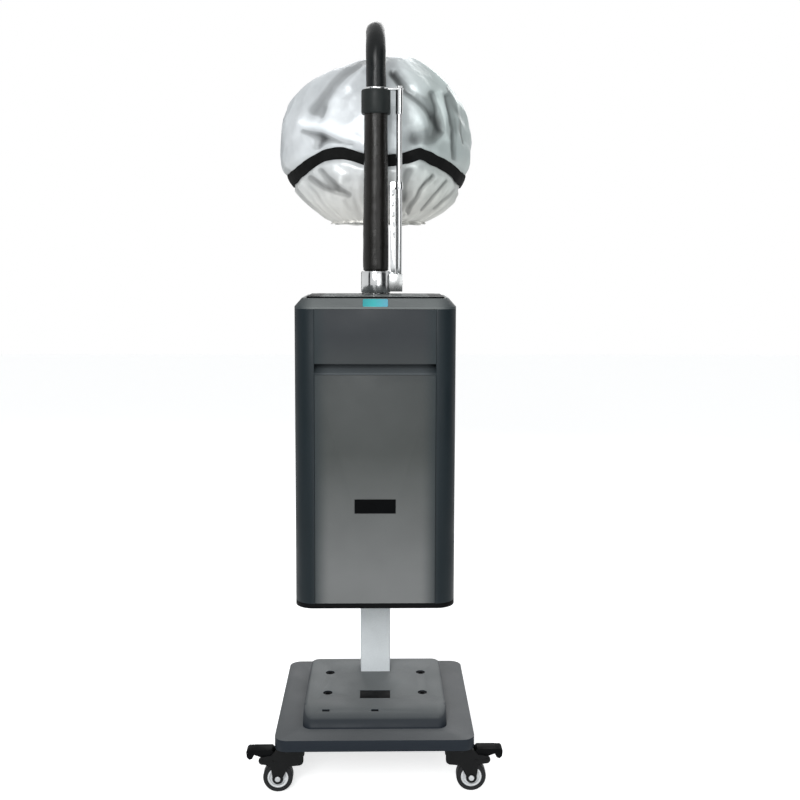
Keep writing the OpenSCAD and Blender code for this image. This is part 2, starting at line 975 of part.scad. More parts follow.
module drawer_front() {
    color(paint) {
        pressed_panel(front_w, drawer_z, drawer_h, 4, 12);
        for (x = [-1, 1], z = [0.25, 0.75])
            translate([x * tank_w * 0.3, tank_front, tank_z + tank_h * z])
                rotate([90, 0, 0])
                    cylinder(r = 6, h = 9);
    }
}

module water_tank() {
    corner = 12;
    color("#a9c7d6")
        difference() {
            union() {
                translate([0, tank_front + tank_d / 2, tank_z])
                    linear_extrude(tank_h)
                        round_rect(tank_w, tank_d, corner);
                translate([-tank_w / 2 + corner, tank_front, tank_z])
                    cube([tank_w - 2 * corner, tank_wall, tank_h]);
                translate([0, tank_front + tank_d + 8, tank_z + 10])
                    rotate([90, 0, 0])
                        cylinder(r = 6, h = 9);
                translate([0, lug_y + lug_l / 2, tank_z + 4])
                    box(tank_w + 2 * lug_t, lug_l, 8);
            }
            translate([0, tank_front + tank_d / 2, tank_z + tank_wall])
                linear_extrude(tank_h)
                    round_rect(tank_w - 2 * tank_wall, tank_d - 2 * tank_wall,
                        corner - tank_wall);
            translate([0, tank_front + tank_d + 9, tank_z + 10])
                rotate([90, 0, 0])
                    cylinder(r = 4, h = 20);
        }
}

// Each rail ends in a stop that the lug on the tank's side meets at full travel
module tank_rails() {
    ledge = 12;
    low = tank_z - pass_gap - rail_t;
    start = tank_front + 13;
    guide_x = tank_w / 2 + lug_t + pass_gap;
    guide_h = 18;
    color("#8d9194")
        for (side = [-1, 1])
            mirror([side < 0 ? 1 : 0, 0, 0]) {
                translate([tank_w / 2 - ledge, start, low])
                    cube([guide_x + 2 - tank_w / 2 + ledge, tank_d - 16, rail_t]);
                translate([guide_x, cab_r - cab_front, low])
                    cube([in_w / 2 - guide_x, start + tank_d - 16 - cab_r + cab_front, rail_t]);
                translate([guide_x, start, low])
                    cube([2, tank_d - 16, guide_h]);
                translate([tank_w / 2 + pass_gap, lug_y - drawer_travel - 3.3, low])
                    cube([lug_t + 1, 3, guide_h]);
            }
}

// Working pieces inside the cabinet

chamber_w = 160;
chamber_d = 108;
chamber_h = 104;
chamber_y = chassis_y - 4 - chamber_d / 2;
chamber_z = shelf_high + chassis_t + 14;
chamber_wall = 3;

module mist_chamber() {
    color("#dfe6e8")
        difference() {
            union() {
                translate([0, chamber_y, chamber_z])
                    linear_extrude(chamber_h)
                        round_rect(chamber_w, chamber_d, 10);
                for (x = [-1, 1], y = [-1, 1])
                    translate([x * (chamber_w / 2 - 10), chamber_y + y * (chamber_d / 2 - 10),
                        shelf_high + chassis_t])
                        cylinder(r = 6, h = 15);
            }
            translate([0, chamber_y, chamber_z + chamber_wall])
                linear_extrude(chamber_h - 2 * chamber_wall)
                    round_rect(chamber_w - 2 * chamber_wall, chamber_d - 2 * chamber_wall,
                        10 - chamber_wall);
            translate([0, mast_y, chamber_z + chamber_h - chamber_wall - 1])
                cylinder(r = duct_r - 2, h = chamber_wall + 2, $fn = smooth);
            translate([heater_x, 60, chamber_z - 1])
                cylinder(r = 12, h = chamber_wall + 2);
        }
}

module transducers() {
    color(silver)
        for (x = [-52, -16, 20])
            translate([x, chamber_y, chamber_z - 8]) {
                cylinder(r = 13, h = 8);
                translate([0, 0, -3])
                    cylinder(r = 6, h = 4);
            }
}

module blower() {
    r = 54;
    w = 44;
    x = -64;
    z = shelf_low + chassis_t + r + 4;
    color(dark)
        difference() {
            union() {
                translate([x - w / 2, 50, z])
                    rotate([0, 90, 0])
                        cylinder(r = r, h = w, $fn = smooth);
                translate([x - w / 2, 50 - r, shelf_low + chassis_t])
                    cube([w, 2 * r, 12]);
                translate([x - w / 2 + 2, 50, z + r - 34])
                    cube([w - 4, r + 12, 34]);
                translate([x, 50 + r - 30, z + r - 34])
                    cube([heater_x - 34 - x, 40, 34]);
            }
            translate([x - w / 2 - 1, 50, z])
                rotate([0, 90, 0])
                    cylinder(r = 24, h = w - 6);
        }
}

module heater() {
    w = 66;
    h = 84;
    fins = 7;
    z = shelf_low + chassis_t;
    color("#b9795a")
        union() {
            translate([heater_x, 60, z])
                box(w - 12, 88, h);
            for (i = [0 : fins - 1])
                translate([heater_x, 60, z + 6 + i * 12])
                    box(w, 94, 2);
            translate([heater_x, 60, z + h - 1])
                difference() {
                    cylinder(r = 15, h = chamber_z - z - h + 1);
                    translate([0, 0, 1])
                        cylinder(r = 12, h = chamber_z - z - h + 2);
                }
        }
}

module circuit_board() {
    board = [150, 1.6, 110];
    face = chassis_y - 8;
    low = shell_z + 74;
    parts = [[-50, 20, 24, 16, 18], [-10, 24, 18, 12, 24], [30, 20, 30, 20, 14],
        [-45, 70, 34, 8, 20], [10, 72, 20, 8, 20], [52, 66, 16, 22, 16]];
    color("#3d7a52") {
        translate([-board[0] / 2, face, low])
            cube(board);
        for (x = [-1, 1], z = [8, board[2] - 8])
            translate([x * (board[0] / 2 - 8), chassis_y, low + z])
                rotate([90, 0, 0])
                    cylinder(r = 3, h = chassis_y - face);
        for (p = parts)
            translate([p[0] - p[2] / 2, face - p[3], low + p[1]])
                cube([p[2], p[3], p[4]]);
    }
}

module power_supply() {
    color("#a7abae")
        difference() {
            translate([20, -60, shell_z])
                cube([110, 78, 46]);
            for (i = [0 : 7])
                translate([30 + i * 12, -52, shell_z + 44])
                    cube([5, 62, 3]);
        }
}

module mist_duct() {
    z = chamber_z + chamber_h;
    color("#dfe6e8")
        translate([0, mast_y, z])
            tube(duct_r, 2, flange_base - z);
}

rocker_x = 18;
rocker_w = 14;
rocker_h = 22;
bezel_t = 3;
pin_sink = 2;
rocker_tilt = 7;
back_face = cab_back + rear_t;

module power_inlet() {
    body_d = 22;
    color(dark)
        difference() {
            union() {
                translate([inlet_x - inlet_w / 2 - 3, back_face, inlet_z - inlet_h / 2 - 3])
                    cube([inlet_w + 6, bezel_t, inlet_h + 6]);
                translate([inlet_x - inlet_w / 2 + 0.3, back_face - body_d,
                    inlet_z - inlet_h / 2 + 0.3])
                    cube([inlet_w - 0.6, body_d + 1, inlet_h - 0.6]);
            }
            translate([inlet_x - 27, back_face + bezel_t - 16, inlet_z - 12])
                cube([26, 17, 24]);
            translate([inlet_x + rocker_x - rocker_w / 2 - pass_gap,
                back_face + bezel_t - 12, inlet_z - rocker_h / 2 - pass_gap])
                cube([rocker_w + 2 * pass_gap, 13, rocker_h + 2 * pass_gap]);
            rocker_pin(running);
        }
    color(silver)
        for (p = [[-20, -4], [-8, -4], [-14, 5]])
            translate([inlet_x + p[0] - 1, back_face + bezel_t - 17, inlet_z + p[1] - 3])
                cube([2, 13, 6]);
}

module rocker_pin(play) {
    translate([inlet_x + rocker_x - rocker_w / 2 - 3 - play, back_face - pin_sink, inlet_z])
        rotate([0, 90, 0])
            cylinder(r = 2 + play, h = rocker_w + 6 + 2 * play);
}

// The rocker is drawn about its pin and rests tilted to one side
module power_switch() {
    tip = bezel_t + pin_sink + 2;
    half = rocker_h / 2 - 1;
    color("#b5312b") {
        rocker_pin(0);
        translate([inlet_x + rocker_x - rocker_w / 2, back_face - pin_sink, inlet_z])
            rotate([-rocker_tilt, 0, 0])
                rotate([90, 0, 90])
                    linear_extrude(rocker_w)
                        polygon([
                            [-3, -half + 3], [tip - 2.2, -half], [tip, -half + 1.5],
                            [tip - 3.4, 0], [tip, half - 1.5], [tip - 2.2, half],
                            [-3, half - 3]
                        ]);
    }
}

module drain_nozzle() {
    color(silver)
        translate([nozzle_x, back_face + nozzle_l, inlet_z])
            rotate([90, 0, 0])
                difference() {
                    union() {
                        cylinder(r = nozzle_r, h = nozzle_l);
                        translate([0, 0, nozzle_l - 4])
                            cylinder(r = nozzle_r + 6, h = 4, $fn = 6);
                        translate([0, 0, nozzle_l - 1])
                            cylinder(r = nozzle_r + 3, h = 16);
                    }
                    translate([0, 0, -1])
                        cylinder(r = nozzle_r - 1.5, h = nozzle_l + 20);
                }
}

// Mast. The swivel flange stays with the cabinet; the collar turns on its spigot
// until the pin under the collar meets an end of the rib on the flange.

module swivel_flange() {
    spigot_r = pipe_r - pipe_wall - running;
    color(silver)
        translate([0, mast_y, 0])
            difference() {
                union() {
                    translate([0, 0, flange_base])
                        cylinder(r = flange_r, h = flange_top - flange_base, $fn = smooth);
                    translate([0, 0, flange_top - 1])
                        cylinder(r = flange_r - 8, h = washer_t + 1, $fn = smooth);
                    translate([0, 0, flange_top])
                        cylinder(r = spigot_r, h = spigot_h, $fn = smooth);
                    rotate([0, 0, swing + stop_play - 90])
                        rotate_extrude(angle = 360 - 2 * (swing + stop_play), $fn = smooth)
                            translate([stop_ring_r - stop_pin_r, flange_top - 1])
                                square([2 * stop_pin_r, 3.2]);
                }
                translate([0, 0, flange_base - 1])
                    cylinder(r = spigot_r - 2.5, h = spigot_h + 20, $fn = smooth);
            }
}

module riser_pipe() {
    color(silver)
        translate([0, mast_y, collar_z])
            tube(pipe_r, pipe_wall, cap_z - cap_grip - collar_z);
}

module collar() {
    color(silver)
        translate([0, mast_y, collar_z])
            difference() {
                union() {
                    cylinder(r = collar_r, h = collar_h - 2, $fn = smooth);
                    cylinder(r = collar_r - 1, h = collar_h, $fn = smooth);
                    translate([0, -stop_ring_r, 0.6 - washer_t])
                        cylinder(r = stop_pin_r, h = washer_t + 1);
                }
                translate([0, 0, -1])
                    cylinder(r = pipe_r + running, h = collar_h + 2, $fn = smooth);
            }
}

module at_rod(z) {
    translate([rod_x, mast_y, z])
        children();
}

module clamp_block() {
    color(silver)
        difference() {
            translate([collar_r - 6, mast_y - block_w / 2, block_z])
                cube([rod_x + rod_r + 1 - collar_r + 6, block_w, block_h]);
            translate([0, mast_y, block_z - 1])
                cylinder(r = collar_r + running, h = block_h + 2, $fn = smooth);
            at_rod(block_z - 1)
                cylinder(r = rod_r + running, h = block_h + 2);
            translate([rod_x, mast_y + block_w, knob_z])
                rotate([90, 0, 0])
                    cylinder(r = 3 + running, h = block_w);
        }
}

module clamp_knob() {
    color(dark)
        translate([rod_x, mast_y, knob_z])
            rotate([-90, 0, 0])
                difference() {
                    union() {
                        translate([0, 0, rod_r + 0.3])
                            cylinder(r = 3, h = block_w / 2 - rod_r + 2);
                        translate([0, 0, block_w / 2 + pass_gap])
                            cylinder(r = knob_r, h = 12);
                    }
                    for (i = [0 : 5])
                        rotate([0, 0, i * 60])
                            translate([knob_r + 2.2, 0, block_w / 2])
                                cylinder(r = 4, h = 14);
                }
}

module guide_strip() {
    low = block_z + block_h;
    eye_r = rod_r + 2.5;
    color(silver)
        difference() {
            union() {
                translate([strip_x, mast_y - strip_t / 2, low])
                    cube([strip_w, strip_t, strip_top - low]);
                at_rod(strip_top - eye_h)
                    cylinder(r = eye_r, h = eye_h);
                translate([strip_x, mast_y - strip_t / 2, strip_top - eye_h])
                    cube([rod_x - strip_x, strip_t, eye_h]);
            }
            at_rod(strip_top - eye_h - 1)
                cylinder(r = rod_r + running, h = eye_h + 2);
            for (i = [0 : hole_count - 1])
                translate([strip_x + strip_w / 2, mast_y + strip_t,
                    strip_top - eye_h - 12 - i * hole_pitch])
                    rotate([90, 0, 0])
                        cylinder(r = 2.6, h = 2 * strip_t);
        }
}

module lift_rod() {
    color(silver)
        at_rod(rod_foot)
            cylinder(r = rod_r, h = bracket_top - bracket_t - rod_foot);
}

module top_bracket() {
    sleeve = rod_r + 1.5;
    color(silver)
        difference() {
            union() {
                translate([0, mast_y, cap_top]) {
                    cylinder(r = duct_out_r + 5, h = bracket_t, $fn = smooth);
                    translate([0, -sleeve - 1, 0])
                        cube([rod_x, 2 * sleeve + 2, bracket_t]);
                }
                at_rod(cap_z)
                    cylinder(r = sleeve, h = bracket_top - cap_z);
                at_rod(cap_top)
                    cylinder(r = sleeve + 1, h = bracket_t);
                at_rod(bracket_top - 1)
                    cylinder(r = sleeve - 1.5, h = nut_h + 1, $fn = 6);
            }
            translate([0, mast_y, cap_top - 1])
                cylinder(r = duct_out_r + running, h = bracket_t + 2, $fn = smooth);
            at_rod(cap_z - 1)
                cylinder(r = rod_r + running, h = cap_top - cap_z + 1);
        }
}

module riser_sleeve() {
    bore = pipe_r + running;
    grip_z = sleeve_l + cap_grip - 2;
    color(dark)
        translate([0, mast_y, sleeve_z])
            difference() {
                union() {
                    cylinder(r1 = sleeve_foot_r, r2 = sleeve_top_r, h = sleeve_l, $fn = smooth);
                    cylinder(r = sleeve_top_r, h = grip_z, $fn = smooth);
                }
                translate([0, 0, -1])
                    cylinder(r = bore, h = grip_z + 2, $fn = smooth);
            }
}

module riser_cap() {
    edge = 2;
    color(dark)
        translate([0, mast_y, cap_z])
            difference() {
                union() {
                    translate([0, 0, edge])
                        cylinder(r = cap_r, h = cap_h - 2 * edge, $fn = smooth);
                    cylinder(r = cap_r - 1, h = cap_h, $fn = smooth);
                }
                translate([0, 0, -1])
                    cylinder(r = sleeve_top_r + running, h = cap_grip + 1, $fn = smooth);
                translate([0, 0, cap_grip])
                    cylinder(r = pipe_r - pipe_wall, h = cap_h, $fn = smooth);
                translate([0, 0, cap_grip + 12])
                    cylinder(r = duct_out_r + running, h = cap_h, $fn = smooth);
            }
}

// Arch duct, drawn in its own upright plane: u is the distance behind the mast

// A quarter bend that starts at the given angle of its circle
module bend(u, z, r, from, out_r) {
    translate([0, mast_y + u, z])
        rotate([90, 0, 90])
            rotate([0, 0, from])
                rotate_extrude(angle = 90, $fn = smooth)
                    translate([r, 0])
                        circle(out_r, $fn = smooth);
}

module duct_solid(out_r, over) {
    start = cap_z + cap_grip + 12;
    near_z = apex_z - bend_near;
    far_z = apex_z - bend_far;
    translate([0, mast_y, start - over])
        cylinder(r = out_r, h = near_z - start + over, $fn = smooth);
    bend(bend_near, near_z, bend_near, 90, out_r);
    translate([0, mast_y + bend_near, apex_z])
        rotate([-90, 0, 0])
            cylinder(r = out_r, h = hood_reach - bend_near - bend_far, $fn = smooth);
    bend(hood_reach - bend_far, far_z, bend_far, 0, out_r);
    translate([0, hood_y, far_z - duct_drop - over])
        cylinder(r = out_r, h = duct_drop + over, $fn = smooth);
}

module arch_duct() {
    color(dark)
        difference() {
            duct_solid(duct_out_r, 0);
            duct_solid(duct_out_r - duct_wall, 1);
        }
}

module hood_ring() {
    r = duct_out_r + running;
    color(dark)
        translate([0, hood_y, ring_z])
            difference() {
                union() {
                    cylinder(r = r + ring_t - 0.4, h = ring_h, $fn = smooth);
                    cylinder(r = r + ring_t + 6, h = 2, $fn = smooth);
                }
                translate([0, 0, -1])
                    cylinder(r = r, h = ring_h + 2, $fn = smooth);
            }
}

// Hood. Its surface is given by half its width at each height: a dome that bulges
// above the widest ring, and a skirt that gathers in to the neck below it.

bulge = 2.2;
dome_rows = 7;
skirt_rows = 5;
hood_rows = dome_rows + skirt_rows;
around = 2 * fold_count;

function dome_half(z) =
    hood_w / 2 * pow(max(1 - pow((z - hood_mid) / dome_h, bulge), 0), 1 / bulge);
function skirt_half(z) =
    neck_w / 2 + (hood_w - neck_w) / 2 * pow(max(cos(90 * (hood_mid - z) / gather_h), 0), 0.8);
function hood_half(z) = z > hood_mid ? dome_half(z) : skirt_half(z);
// Half the depth that goes with half a width: round at the ring, oval at the widest
function hood_deep(a) =
    a * (1 - (1 - hood_d / hood_w) * (a - rim_r) / (hood_w / 2 - rim_r));
// Height of the folds at a height: none at the widest ring, most at the neck
function fold_at(z) =
    z > hood_mid ? 1.5 * (z - hood_mid) / dome_h
        : fold_h * pow((hood_mid - z) / gather_h, 0.7);

// Row i of the hood as [half width, height]
rim_turn = asin(pow(rim_r / (hood_w / 2), bulge / 2));
function dome_row(e) =
    [hood_w / 2 * pow(sin(e), 2 / bulge), hood_mid + dome_h * pow(cos(e), 2 / bulge)];
function skirt_row(u) = [skirt_half(hood_mid - u * gather_h), hood_mid - u * gather_h];
function hood_row(i) =
    i <= dome_rows ? dome_row(rim_turn + (90 - rim_turn) * i / dome_rows)
        : skirt_row((i - dome_rows) / skirt_rows);
// Direction across the film at row i, as [outwards, upwards]
function row_normal(i) =
    let(e = rim_turn + (90 - rim_turn) * i / dome_rows, s = 55 * (i - dome_rows) / skirt_rows)
    i <= dome_rows ? [sin(e), cos(e)] : [cos(s), -sin(s)];

function hood_point(a, z, j) =
    let(turn = 360 * j / around, f = fold_at(z) * (j % 2 == 0 ? 1 : -1))
    [(a + f) * cos(turn), hood_y + (hood_deep(a) + f) * sin(turn), z];

function film_points(depth) = [
    for (i = [0 : hood_rows], j = [0 : around - 1])
        let(row = hood_row(i), n = row_normal(i))
        hood_point(row[0] - depth * n[0], row[1] - depth * n[1], j)
];

// Triangles between two rings of points that start at a and b
function ring_faces(a, b) = [
    for (j = [0 : around - 1])
        let(k = (j + 1) % around)
        each [[a + j, a + k, b + j], [a + k, b + k, b + j]]
];
function turned(faces) = [for (f = faces) [f[2], f[1], f[0]]];

module hood() {
    inner = (hood_rows + 1) * around;
    last = hood_rows * around;
    color("#c3c8ca")
        polyhedron(
            concat(film_points(0), film_points(film_t)),
            concat(
                [for (i = [0 : hood_rows - 1]) each ring_faces(i * around, (i + 1) * around)],
                [for (i = [0 : hood_rows - 1])
                    each turned(ring_faces(inner + i * around, inner + (i + 1) * around))],
                turned(ring_faces(0, inner)),
                ring_faces(last, inner + last)
            )
        );
}

// Height of the elastic band's middle: two waves at the front, one at the back
function band_z(turn) =
    let(side = abs(turn - 270) > 180 ? 360 - abs(turn - 270) : abs(turn - 270))
    hood_mid - 76 + 58 * exp(-pow((side - 23) / 30, 2)) + 40 * exp(-pow((180 - side) / 45, 2));

band_gap = 2;
function band_points(up, out) = [
    for (j = [0 : around - 1])
        let(z = band_z(360 * j / around) + up * band_w / 2)
        hood_point(hood_half(z) + out, z, j)
];

module hood_band() {
    color(dark)
        polyhedron(
            concat(
                band_points(1, band_gap), band_points(1, band_gap + band_t),
                band_points(0, band_gap + band_t), band_points(-1, band_gap + band_t),
                band_points(-1, band_gap), band_points(0, band_gap)
            ),
            [for (i = [0 : 5]) each ring_faces(i * around, (i + 1) % 6 * around)]
        );
}

base_cover();
base_plate();
counterweight();
pad_plugs();
column();
column_bolts();
caster_plates();
fork_at(true, -1);  // fork_front_left
fork_at(true, 1);  // fork_front_right
fork_at(false, -1);  // fork_rear_left
fork_at(false, 1);  // fork_rear_right
wheel_at(true, -1);  // wheel_front_left
wheel_at(true, 1);  // wheel_front_right
wheel_at(false, -1);  // wheel_rear_left
wheel_at(false, 1);  // wheel_rear_right
tyre_at(true, -1);  // tyre_front_left
tyre_at(true, 1);  // tyre_front_right
tyre_at(false, -1);  // tyre_rear_left
tyre_at(false, 1);  // tyre_rear_right
axle_at(true, -1);  // axle_front_left
axle_at(true, 1);  // axle_front_right
axle_at(false, -1);  // axle_rear_left
axle_at(false, 1);  // axle_rear_right
pedal_at(-1);  // pedal_left
pedal_at(1);  // pedal_right
cabinet_tray();
cabinet_shell();
front_panel();
rear_panel();
chassis();
top_cover();
control_glass();
indicator_lens();
drawer_front();
water_tank();
tank_rails();
mist_chamber();
transducers();
blower();
heater();
circuit_board();
power_supply();
mist_duct();
power_inlet();
power_switch();
drain_nozzle();
swivel_flange();
collar();
clamp_block();
clamp_knob();
guide_strip();
lift_rod();
top_bracket();
riser_pipe();
riser_sleeve();
riser_cap();
arch_duct();
hood_ring();
hood();
hood_band();
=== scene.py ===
"""Looks for a free-standing hair steamer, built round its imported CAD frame.

Everything is in metres, +Z up, with the control side towards -Y.
"""
import json
import math

import bmesh
import bpy
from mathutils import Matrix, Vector, noise


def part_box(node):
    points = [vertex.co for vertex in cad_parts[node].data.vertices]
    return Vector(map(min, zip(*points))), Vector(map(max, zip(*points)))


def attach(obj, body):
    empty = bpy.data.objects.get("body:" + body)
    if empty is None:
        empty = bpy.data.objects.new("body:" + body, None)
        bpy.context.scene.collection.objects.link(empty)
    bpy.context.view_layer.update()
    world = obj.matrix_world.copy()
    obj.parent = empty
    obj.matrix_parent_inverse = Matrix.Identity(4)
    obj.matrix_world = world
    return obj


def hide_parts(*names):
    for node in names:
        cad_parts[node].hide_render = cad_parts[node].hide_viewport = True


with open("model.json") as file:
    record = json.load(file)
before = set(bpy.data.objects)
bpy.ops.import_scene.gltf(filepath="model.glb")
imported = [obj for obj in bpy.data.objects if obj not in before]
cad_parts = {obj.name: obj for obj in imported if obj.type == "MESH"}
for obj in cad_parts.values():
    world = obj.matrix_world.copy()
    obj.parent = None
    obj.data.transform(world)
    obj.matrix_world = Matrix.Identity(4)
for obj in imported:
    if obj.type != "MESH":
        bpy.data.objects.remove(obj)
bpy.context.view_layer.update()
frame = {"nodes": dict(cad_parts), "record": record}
MM = 0.001


# Camera, light and floor

EYE = Vector((0.0105, -2.151, 1.0774))
FOCAL_PIXELS = 1022.4
PICTURE = 800
TILT = 0.0897
TURN = 0.0189
ROLL = -0.003
SHIFT = 0.065
CARD_TONE = (0.03, 0.032, 0.035, 1)
SKY_TONE = (0.95, 0.98, 1, 1)
SKY_LIGHT = 0.3
FLOOR_TONE = (0.86, 0.87, 0.87, 1)
FLOOR_GLOW = 0.66
FLOOR_HALF = 9


def make_camera():
    """A standing eye's view, tilted down a little and moved the rest by a small shift."""
    data = bpy.data.cameras.new("camera")
    data.sensor_width = 36
    data.lens = FOCAL_PIXELS / PICTURE * data.sensor_width
    data.shift_y = -SHIFT
    camera = bpy.data.objects.new("camera", data)
    camera.location = EYE
    camera.rotation_euler = (math.pi / 2 - TILT, ROLL, -TURN)
    bpy.context.collection.objects.link(camera)
    bpy.context.scene.camera = camera


def make_lamp(name, place, aim, size, watts):
    """A soft box at a place, turned towards its aim."""
    data = bpy.data.lights.new(name, "AREA")
    data.shape = "RECTANGLE"
    data.size, data.size_y = size
    data.energy = watts
    lamp = bpy.data.objects.new(name, data)
    lamp.location = place
    lamp.rotation_euler = (Vector(aim) - Vector(place)).to_track_quat("-Z", "Y").to_euler()
    bpy.context.collection.objects.link(lamp)


def make_flag(name, place, size, turn):
    """A dark upright card beside the set, which only metal and gloss see."""
    mesh = bpy.data.meshes.new(name)
    shape = bmesh.new()
    bmesh.ops.create_grid(shape, x_segments=1, y_segments=1, size=0.5)
    bmesh.ops.scale(shape, verts=shape.verts, vec=(size[0], size[1], 1))
    shape.to_mesh(mesh)
    shape.free()
    flag = bpy.data.objects.new(name, mesh)
    flag.location = place
    flag.rotation_euler = (math.pi / 2, 0, math.radians(turn))
    bpy.context.collection.objects.link(flag)
    material = bpy.data.materials.new(name)
    material.use_nodes = True
    cloth = material.node_tree.nodes["Principled BSDF"]
    cloth.inputs["Base Color"].default_value = CARD_TONE
    cloth.inputs["Roughness"].default_value = 1
    mesh.materials.append(material)
    flag.visible_camera = flag.visible_diffuse = flag.visible_shadow = flag.visible_transmission = False


def seen_white(tree, lit):
    """White to the camera, and in metal and glass; the plain shader for all other light."""
    path = tree.nodes.new("ShaderNodeLightPath")
    largest = path.outputs["Is Camera Ray"]
    for ray in ("Is Glossy Ray", "Is Transmission Ray"):
        pick = tree.nodes.new("ShaderNodeMath")
        pick.operation = "MAXIMUM"
        tree.links.new(largest, pick.inputs[0])
        tree.links.new(path.outputs[ray], pick.inputs[1])
        largest = pick.outputs[0]
    white = tree.nodes.new("ShaderNodeBackground" if lit.type == "BACKGROUND" else "ShaderNodeEmission")
    white.inputs["Color"].default_value = (1, 1, 1, 1)
    mix = tree.nodes.new("ShaderNodeMixShader")
    tree.links.new(largest, mix.inputs[0])
    tree.links.new(lit.outputs[0], mix.inputs[1])
    tree.links.new(white.outputs[0], mix.inputs[2])
    return mix.outputs[0]


def make_world():
    """A weak, cool light from all sides, before a white backdrop."""
    world = bpy.data.worlds.new("studio")
    world.use_nodes = True
    bpy.context.scene.world = world
    tree = world.node_tree
    ambient = tree.nodes["Background"]
    ambient.inputs["Color"].default_value = SKY_TONE
    ambient.inputs["Strength"].default_value = SKY_LIGHT
    tree.links.new(seen_white(tree, ambient), tree.nodes["World Output"].inputs["Surface"])


def make_floor():
    """A pale matt floor that also glows, to the camera and in metal and gloss."""
    mesh = bpy.data.meshes.new("floor")
    shape = bmesh.new()
    bmesh.ops.create_grid(shape, x_segments=1, y_segments=1, size=FLOOR_HALF)
    shape.to_mesh(mesh)
    shape.free()
    floor = bpy.data.objects.new("floor", mesh)
    bpy.context.collection.objects.link(floor)
    material = bpy.data.materials.new("floor")
    material.use_nodes = True
    tree = material.node_tree
    matt = tree.nodes["Principled BSDF"]
    matt.inputs["Base Color"].default_value = FLOOR_TONE
    matt.inputs["Roughness"].default_value = 0.8
    path = tree.nodes.new("ShaderNodeLightPath")
    glow = tree.nodes.new("ShaderNodeEmission")
    either = tree.nodes.new("ShaderNodeMath")
    either.operation = "MAXIMUM"
    tree.links.new(path.outputs["Is Camera Ray"], either.inputs[0])
    tree.links.new(path.outputs["Is Glossy Ray"], either.inputs[1])
    share = tree.nodes.new("ShaderNodeMath")
    share.operation = "MULTIPLY"
    share.inputs[1].default_value = FLOOR_GLOW
    tree.links.new(either.outputs[0], share.inputs[0])
    tree.links.new(share.outputs[0], glow.inputs["Strength"])
    both = tree.nodes.new("ShaderNodeAddShader")
    tree.links.new(matt.outputs[0], both.inputs[0])
    tree.links.new(glow.outputs[0], both.inputs[1])
    tree.links.new(both.outputs[0], tree.nodes["Material Output"].inputs["Surface"])
    mesh.materials.append(material)


make_camera()
make_lamp("key", (-0.6, -3.3, 2.3), (0, 0, 0.8), (1.2, 1.8), 96)
make_lamp("fill", (1.3, -2.9, 1.2), (0, 0, 0.7), (1.2, 1.6), 15)
make_lamp("back", (0.6, 2.6, 2.6), (0, 0, 1.0), (2.4, 1.6), 40)
make_flag("flag_right", (1.9, -0.7, 1.3), (1.5, 2.6), 68)
make_flag("flag_left", (-2.0, -1.5, 1.1), (0.7, 2.2), -60)
make_flag("flag_rear", (-1.2, 2.4, 1.2), (0.8, 2.4), 20)
make_world()
make_floor()
bpy.context.scene.view_settings.view_transform = "Standard"


# Finishes

# Where a Mix node's two colours go in, and where the mixed one comes out
MIX_LOW, MIX_HIGH, MIX_RESULT = 6, 7, 2
# Heights between which each paint changes tone, painted as a reflection of the floor on the cabinet and as
# shade on the base, and half widths between which painted shade darkens its corners
CABINET_REFLECTION_RISE = (0.36, 0.98)
TOP_RISE = (0.9, 1.0)
BASE_SHADE_RISE = (0.12, 0.15)
COLUMN_RISE = (0.1, 0.35)
CABINET_CORNER_SHADE = (0.09, 0.135)
TOP_CORNER_SHADE = (0.12, 0.16)
# Where the film turns greener towards the right, and warmer towards the neck
FILM_RIGHT = (0.0, 0.13)
FILM_LOW = (1.31, 1.18)
LENS_HALF = 0.026
# Half widths between which the control glass turns black
GLASS_ENDS = (0.1075, 0.11375)
# What the film carries where it has no crease, and the heights of folds and of creases that its values span
CREASE_NONE = 0.35
FOLD_SPAN = 0.016
CREASE_SPAN = 0.018
# Each finish's material, by the name that this script gives it
FINISH = {}


def srgb(*levels):
    """The linear colour of a colour written as 0 to 255 levels."""
    parts = [v / 255 for v in levels]
    return (*[v / 12.92 if v < 0.04045 else ((v + 0.055) / 1.055) ** 2.4 for v in parts], 1.0)


